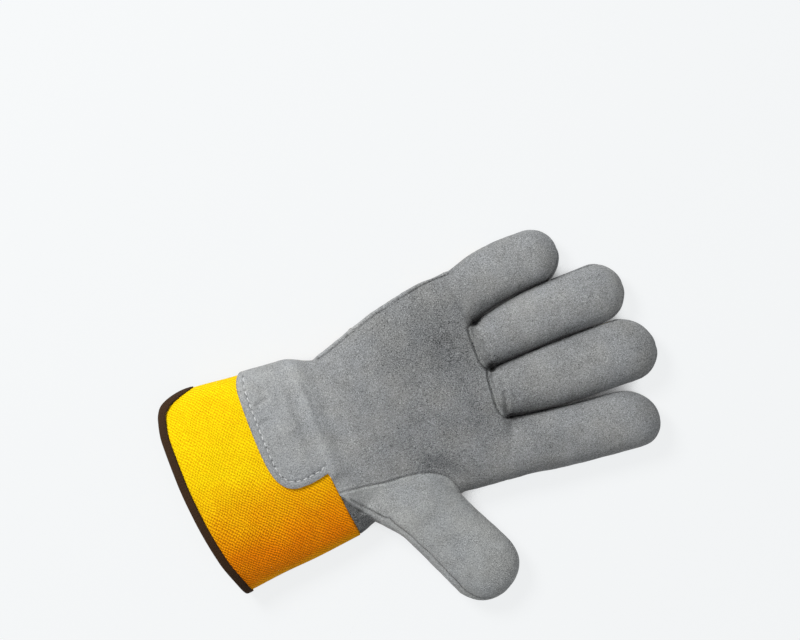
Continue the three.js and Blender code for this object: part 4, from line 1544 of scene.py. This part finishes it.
def make_cuff():
    """The canvas tube, from the tape at its mouth to its end under the patch and the hand."""
    def ends(across, height):
        return wrist_at(across) + 2.3

    def starts(across, height):
        return mouth_at(across, height) + 0.9

    count, rows = ((321, 90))
    places, layout = cuff_surface(starts, ends, 0.0, count, rows)
    cuff = laid_grid("cuff_canvas_tube", places, layout)
    cuff.data.uv_layers[0].name = "weave"
    edit(cuff, merge_doubles, outwards)
    points, normals = drawn_points(cuff), normals_of(cuff.data)
    wave = gentle_waves(points)
    hem = wrist_at(points[:, 1]) - points[:, 0]
    wave -= 2.9 * smooth((0.4 - hem) / 0.5)
    points = points + normals * wave[:, None]
    points[:, 2] = np.maximum(points[:, 2], 1.5)
    set_points(cuff.data, framed(points))
    thicken(cuff, sizes().canvas)
    # Painted shade: the canvas turns orange on its thumb side
    paint(cuff, "dye_and_painted_shade", painted_shade_of(drawn_points(cuff)))
    return cuff


def make_binding():
    """A tape folded over the cuff's raw mouth: a flattened U swept round it."""
    width = sizes().tape_width / MM
    wall = sizes().canvas / MM
    reach = sizes().tape / MM + 0.15
    fold = 1.1
    count = 421
    outline = []
    for share in np.linspace(0, 1, 7):
        outline.append((width - share * (width - fold), reach + 0.12 * math.sin(share * math.pi)))
    for turn in np.radians(np.linspace(90, 270, 11)[1:-1]):
        centre = -wall / 2
        outline.append((fold + fold * math.cos(turn), centre + (reach - centre) * math.sin(turn)))
    for share in np.linspace(1, 0, 7):
        outline.append((width - share * (width - fold), -wall - reach))
    outline += [
        (width + 0.1, -wall - reach + 0.35), (width - 0.1, -wall - 0.1), (1.4, -wall - 0.1),
        (1.0, -wall / 2), (1.4, 0.1), (width - 0.1, 0.1), (width + 0.1, reach - 0.35),
    ]
    rows, layouts = [], []
    mouth = cuff_surface(mouth_at, mouth_at, 0.0, count, 2)[0][0]
    run = np.hypot(*np.diff(mouth[:, 1:], axis=0).T)
    slant = np.gradient(mouth[:, 0]) / np.maximum(np.gradient(np.concatenate(([0], np.cumsum(run)))), 1e-6)
    slant = np.convolve(np.pad(slant, 4, mode="edge"), np.ones(9) / 9, "valid")
    wider = np.hypot(1, slant) * (1 + 0.5 * smooth((mouth[:, 1] - 42) / 8))
    for along, out in outline:
        def edge(across, height, along=along):
            return mouth_at(across, height) + along * wider

        places, layout = cuff_surface(edge, edge, out, count, 2)
        rows.append(places[0])
        layouts.append(np.column_stack((layout[0][:, 1], np.zeros(count))))
    rows.append(rows[0])
    layouts.append(layouts[0])
    run = 0.0
    for k, layout in enumerate(layouts):
        if k:
            run += float(np.linalg.norm(rows[k][0] - rows[k - 1][0]))
        layout[:, 1] = run
    binding = laid_grid("binding_tape_round_mouth", np.array(rows), np.array(layouts))
    binding.data.uv_layers[0].name = "weave"
    edit(binding, merge_doubles, outwards)
    points = drawn_points(binding)
    points[:, 2] = np.maximum(points[:, 2], 0.3)
    set_points(binding.data, framed(points))
    pick(binding)
    bpy.ops.object.shade_smooth_by_angle(angle=math.radians(50))
    return binding


class GLOVE_OT_cuff(bpy.types.Operator):
    """Rolls the stiff canvas cuff and binds its mouth with tape"""

    bl_idname = "glove.cuff"
    bl_label = "Cuff"

    def execute(self, context):
        cuff = make_cuff()
        keep(cuff, canvas(), "cuff_canvas", "cuff")
        binding = make_binding()
        paint(binding, "dye_and_painted_shade", np.zeros(len(binding.data.vertices)))
        keep(binding, tape(), "binding_tape", "cuff_binding")
        return {"FINISHED"}


class GLOVE_OT_palm(bpy.types.Operator):
    """Cuts the palm with its wrist patch, and the panel over the ring and middle finger"""

    bl_idname = "glove.palm"
    bl_label = "Palm"

    def execute(self, context):
        palm = cut_out("palm_leather_sheet", ("above", "leather"),
                       ("panel_wide", "thumb_wide", "strip_wide", "beside_hand"))
        rows = [curve_through(PATCH_STITCHES, 60)]
        keep_sewn(palm, palm_leather(), "palm", rows, 1, "patch_stitches")
        panel = cut_out("finger_panel_sheet", ("above", "panel"))
        keep_sheet(panel, palm_leather(), "finger_panel")
        return {"FINISHED"}


class GLOVE_OT_thumb(bpy.types.Operator):
    """Cuts the thumb's front and back"""

    bl_idname = "glove.thumb"
    bl_label = "Thumb"

    def execute(self, context):
        front = cut_out("thumb_front_sheet", ("above", "thumb", "hand"), ("thumb_under_wide", "strip_wide"))
        keep_sheet(front, thumb_leather(), "thumb_front", thumb=True)
        back = cut_out("thumb_back_sheet", ("thumb_back",))
        keep_sheet(back, thumb_leather(), "thumb_back", thumb=True)
        return {"FINISHED"}


class GLOVE_OT_back(bpy.types.Operator):
    """Cuts the cloth back, the index finger's leather back and the three fingertip caps"""

    bl_idname = "glove.back"
    bl_label = "Back"

    def execute(self, context):
        wide = tuple("cap_wide_" + name for name in CAPS)
        back = cut_out("back_cloth_sheet", ("below", "hand"), ("beside_hand", "index_back_wide") + wide)
        thicken(back, sizes().cloth)
        cloth_layout(back)
        paint(back, "dye_and_painted_shade", np.full(len(back.data.vertices), 0.16))
        keep(back, twill(), "back_cloth", "back")
        index = cut_out("index_back_sheet", ("below", "index_back"), ("beside_hand",))
        keep_sheet(index, palm_leather(), "index_back")
        for name in CAPS:
            cap = cut_out("fingertip_cap_" + name, ("below", "cap_" + name), grow=0.25)
            rows = [cap_outline(name, CAP_INSET)[1:12]]
            keep_sewn(cap, palm_leather(), "fingertip_" + name, rows, -1, "fingertip_stitches_" + name)
        return {"FINISHED"}


class GLOVE_OT_trims(bpy.types.Operator):
    """Lays on the knuckle strap and the welt along the side of the hand"""

    bl_idname = "glove.trims"
    bl_label = "Trims"

    def execute(self, context):
        rooms = cutters()
        reach = np.linspace(0, 1, 13)
        left, right = -THUMB_HALF * 0.86, 75.0
        across = left + (right - left) * reach
        bow = 2.0 * np.sin(reach * math.pi)
        near = np.column_stack((STRAP_START + bow, across))
        far = np.column_stack((STRAP_START + STRAP_WIDTH + bow, across))
        rooms["band"] = prism("band", np.concatenate((near, far[::-1])), -20, STRAP_TOP)
        rooms["band"].hide_set(True)
        strap = cut_out("knuckle_strap_sheet", ("below", "band"), ("beside_hand",), grow=1.45)
        rows = [line + (side * STRAP_INSET, 0) for line, side in ((near, 1), (far, -1))]
        rows = [row[row[:, 1] > left + 2] for row in rows]
        keep_sewn(strap, thumb_leather(), "knuckle_strap", rows, -1, "strap_stitches", 0.1, 0.05)
        keep_leather(make_welt(), palm_leather(), "side_welt", 0.3)
        return {"FINISHED"}


def make_welt():
    """A folded strip of leather that stands out of the side seam."""
    along = np.linspace(WELT_START, WELT_END, 128)
    x = along * HAND_LENGTH
    y = LITTLE_HALF * hand_row(LITTLE_SIDE, along)
    z = side_seam_level(x, y)
    tree = BVHTree.FromObject(skin(), bpy.context.evaluated_depsgraph_get())
    for k in range(len(x)):
        start = framed(np.array((x[k], y[k] + 30, z[k])))
        spot = tree.ray_cast(Vector(start), Vector((0, -1, 0)))[0]
        if spot is not None:
            y[k] = drawn(np.array(spot))[1]
    y = np.convolve(np.pad(y, 3, mode="edge"), np.ones(7) / 7, "valid")
    slope = np.gradient(y, x)
    out = np.column_stack((-slope, np.ones(len(x)))) / np.hypot(slope, 1)[:, None]
    ends = smooth((along - WELT_START) / 0.11) * smooth((WELT_END - along) / 0.06)
    rings = []
    for k in range(len(x)):
        turn = np.linspace(0, 2 * np.pi, 20, endpoint=False)
        width, thick = 2.0 * (0.15 + 0.85 * ends[k]), 1.5 * (0.25 + 0.75 * ends[k])
        aside = 0.15 + width * np.sign(np.cos(turn)) * np.abs(np.cos(turn)) ** 0.75
        lift = 1.6 * ends[k] + thick * np.sign(np.sin(turn)) * np.abs(np.sin(turn)) ** 0.85
        place = np.column_stack((x[k] + out[k, 0] * aside, y[k] + out[k, 1] * aside, z[k] + lift))
        rings.append(place)
    welt = tube("side_welt_strip", np.array(rings))
    pick(welt)
    bpy.ops.object.shade_smooth_by_angle(angle=math.radians(60))
    return welt


def floor_material():
    material, g, shader = new_material("studio_floor")
    shader.inputs["Base Color"].default_value = with_alpha(colours().floor)
    shader.inputs["Roughness"].default_value = 0.9
    shader.inputs["Specular IOR Level"].default_value = 0.0
    # Camera rays see the floor mostly glowing, its glow dimmed by ambient occlusion close to the glove and
    # between the fingers: painted shade. All other rays see a plain, dimmer diffuse floor.
    dim = g.add("ShaderNodeBsdfDiffuse", {"Color": (0.8, 0.805, 0.81, 1)})
    open_sky = g.add("ShaderNodeAmbientOcclusion", {"Distance": 0.03}, samples=12).outputs["AO"]
    bright = g.add("ShaderNodeEmission", {
        "Color": with_alpha(colours().floor), "Strength": g.range(open_sky, 0.1, 0.38)})
    seen = g.add("ShaderNodeLightPath").outputs["Is Camera Ray"]
    soft = g.add("ShaderNodeMixShader", {0: 0.9})
    g.tree.links.new(shader.outputs[0], soft.inputs[1])
    g.tree.links.new(bright.outputs[0], soft.inputs[2])
    both = g.add("ShaderNodeMixShader", {0: seen})
    g.tree.links.new(dim.outputs[0], both.inputs[1])
    g.tree.links.new(soft.outputs[0], both.inputs[2])
    end = next(node for node in g.tree.nodes if node.type == "OUTPUT_MATERIAL")
    g.tree.links.new(both.outputs[0], end.inputs["Surface"])
    return material


def area_light(name, place, size, power):
    """A round light that aims at the glove."""
    light = bpy.data.lights.new(name, "AREA")
    light.shape = "DISK"
    light.size = size
    light.energy = power
    lamp = bpy.data.objects.new(name, light)
    lamp.location = place
    lamp.rotation_euler = (-Vector(place)).to_track_quat("-Z", "Y").to_euler()
    bpy.context.collection.objects.link(lamp)


class GLOVE_OT_stage(bpy.types.Operator):
    """Sets the pale floor, the soft studio light and the camera straight above"""

    bl_idname = "glove.stage"
    bl_label = "Stage"

    def execute(self, context):
        deselect()
        bpy.ops.mesh.primitive_plane_add(size=12, location=(0, 0, -0.0002))
        bpy.ops.object.transform_apply(location=True)
        floor = named("floor")
        floor.data.materials.append(floor_material())
        floor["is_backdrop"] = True
        world = bpy.data.worlds.new("studio")
        world.use_nodes = True
        world.node_tree.nodes["Background"].inputs[0].default_value = (0.95, 0.97, 1, 1)
        world.node_tree.nodes["Background"].inputs[1].default_value = 0.26
        context.scene.world = world
        area_light("key", (-0.55, 1.15, 1.3), 0.7, 33)
        area_light("top", (0.05, -0.1, 1.9), 1.0, 9)
        picture_width, glove_level = 0.44, 0.012
        camera = bpy.data.cameras.new("camera")
        camera.lens = 130
        camera.sensor_width = 36
        view = bpy.data.objects.new("camera", camera)
        context.collection.objects.link(view)
        above = picture_width * camera.lens / camera.sensor_width + glove_level
        view.location = (0.01016, 0.07046, above)
        view.rotation_euler = (0, 0, math.radians(-22))
        context.scene.camera = view
        context.scene.view_settings.view_transform = "Standard"
        context.scene.view_settings.look = "None"
        return {"FINISHED"}


class GLOVE_PT_panel(bpy.types.Panel):
    """Lists the glove's pieces and their sizes and colours"""

    bl_label = "Split Leather Glove"
    bl_idname = "GLOVE_PT_panel"
    bl_space_type = "VIEW_3D"
    bl_region_type = "UI"
    bl_category = "Glove"

    def draw(self, context):
        for settings in (context.scene.glove_sizes, context.scene.glove_colours):
            for name in settings.__annotations__:
                self.layout.prop(settings, name)
        for operator in OPERATORS:
            self.layout.operator(operator.bl_idname)


OPERATORS = (GLOVE_OT_cuff, GLOVE_OT_palm, GLOVE_OT_thumb, GLOVE_OT_back, GLOVE_OT_trims, GLOVE_OT_stage)
CLASSES = (GloveSizes, GloveColours, *OPERATORS, GLOVE_PT_panel)


def register():
    for item in CLASSES:
        bpy.utils.register_class(item)
    bpy.types.Scene.glove_sizes = PointerProperty(type=GloveSizes)
    bpy.types.Scene.glove_colours = PointerProperty(type=GloveColours)


def unregister():
    del bpy.types.Scene.glove_colours
    del bpy.types.Scene.glove_sizes
    for item in reversed(CLASSES):
        bpy.utils.unregister_class(item)


def main():
    register()
    bpy.ops.glove.cuff()
    bpy.ops.glove.palm()
    bpy.ops.glove.thumb()
    bpy.ops.glove.back()
    bpy.ops.glove.trims()
    bpy.ops.glove.stage()
    remove(skin(), *cutters().values())
    boxes = {"cad": CAD_BOX, "visual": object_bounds()}
    boxes = {name: [list(map(float, corner)) for corner in box] for name, box in boxes.items()}


if __name__ == "__main__":
    main()
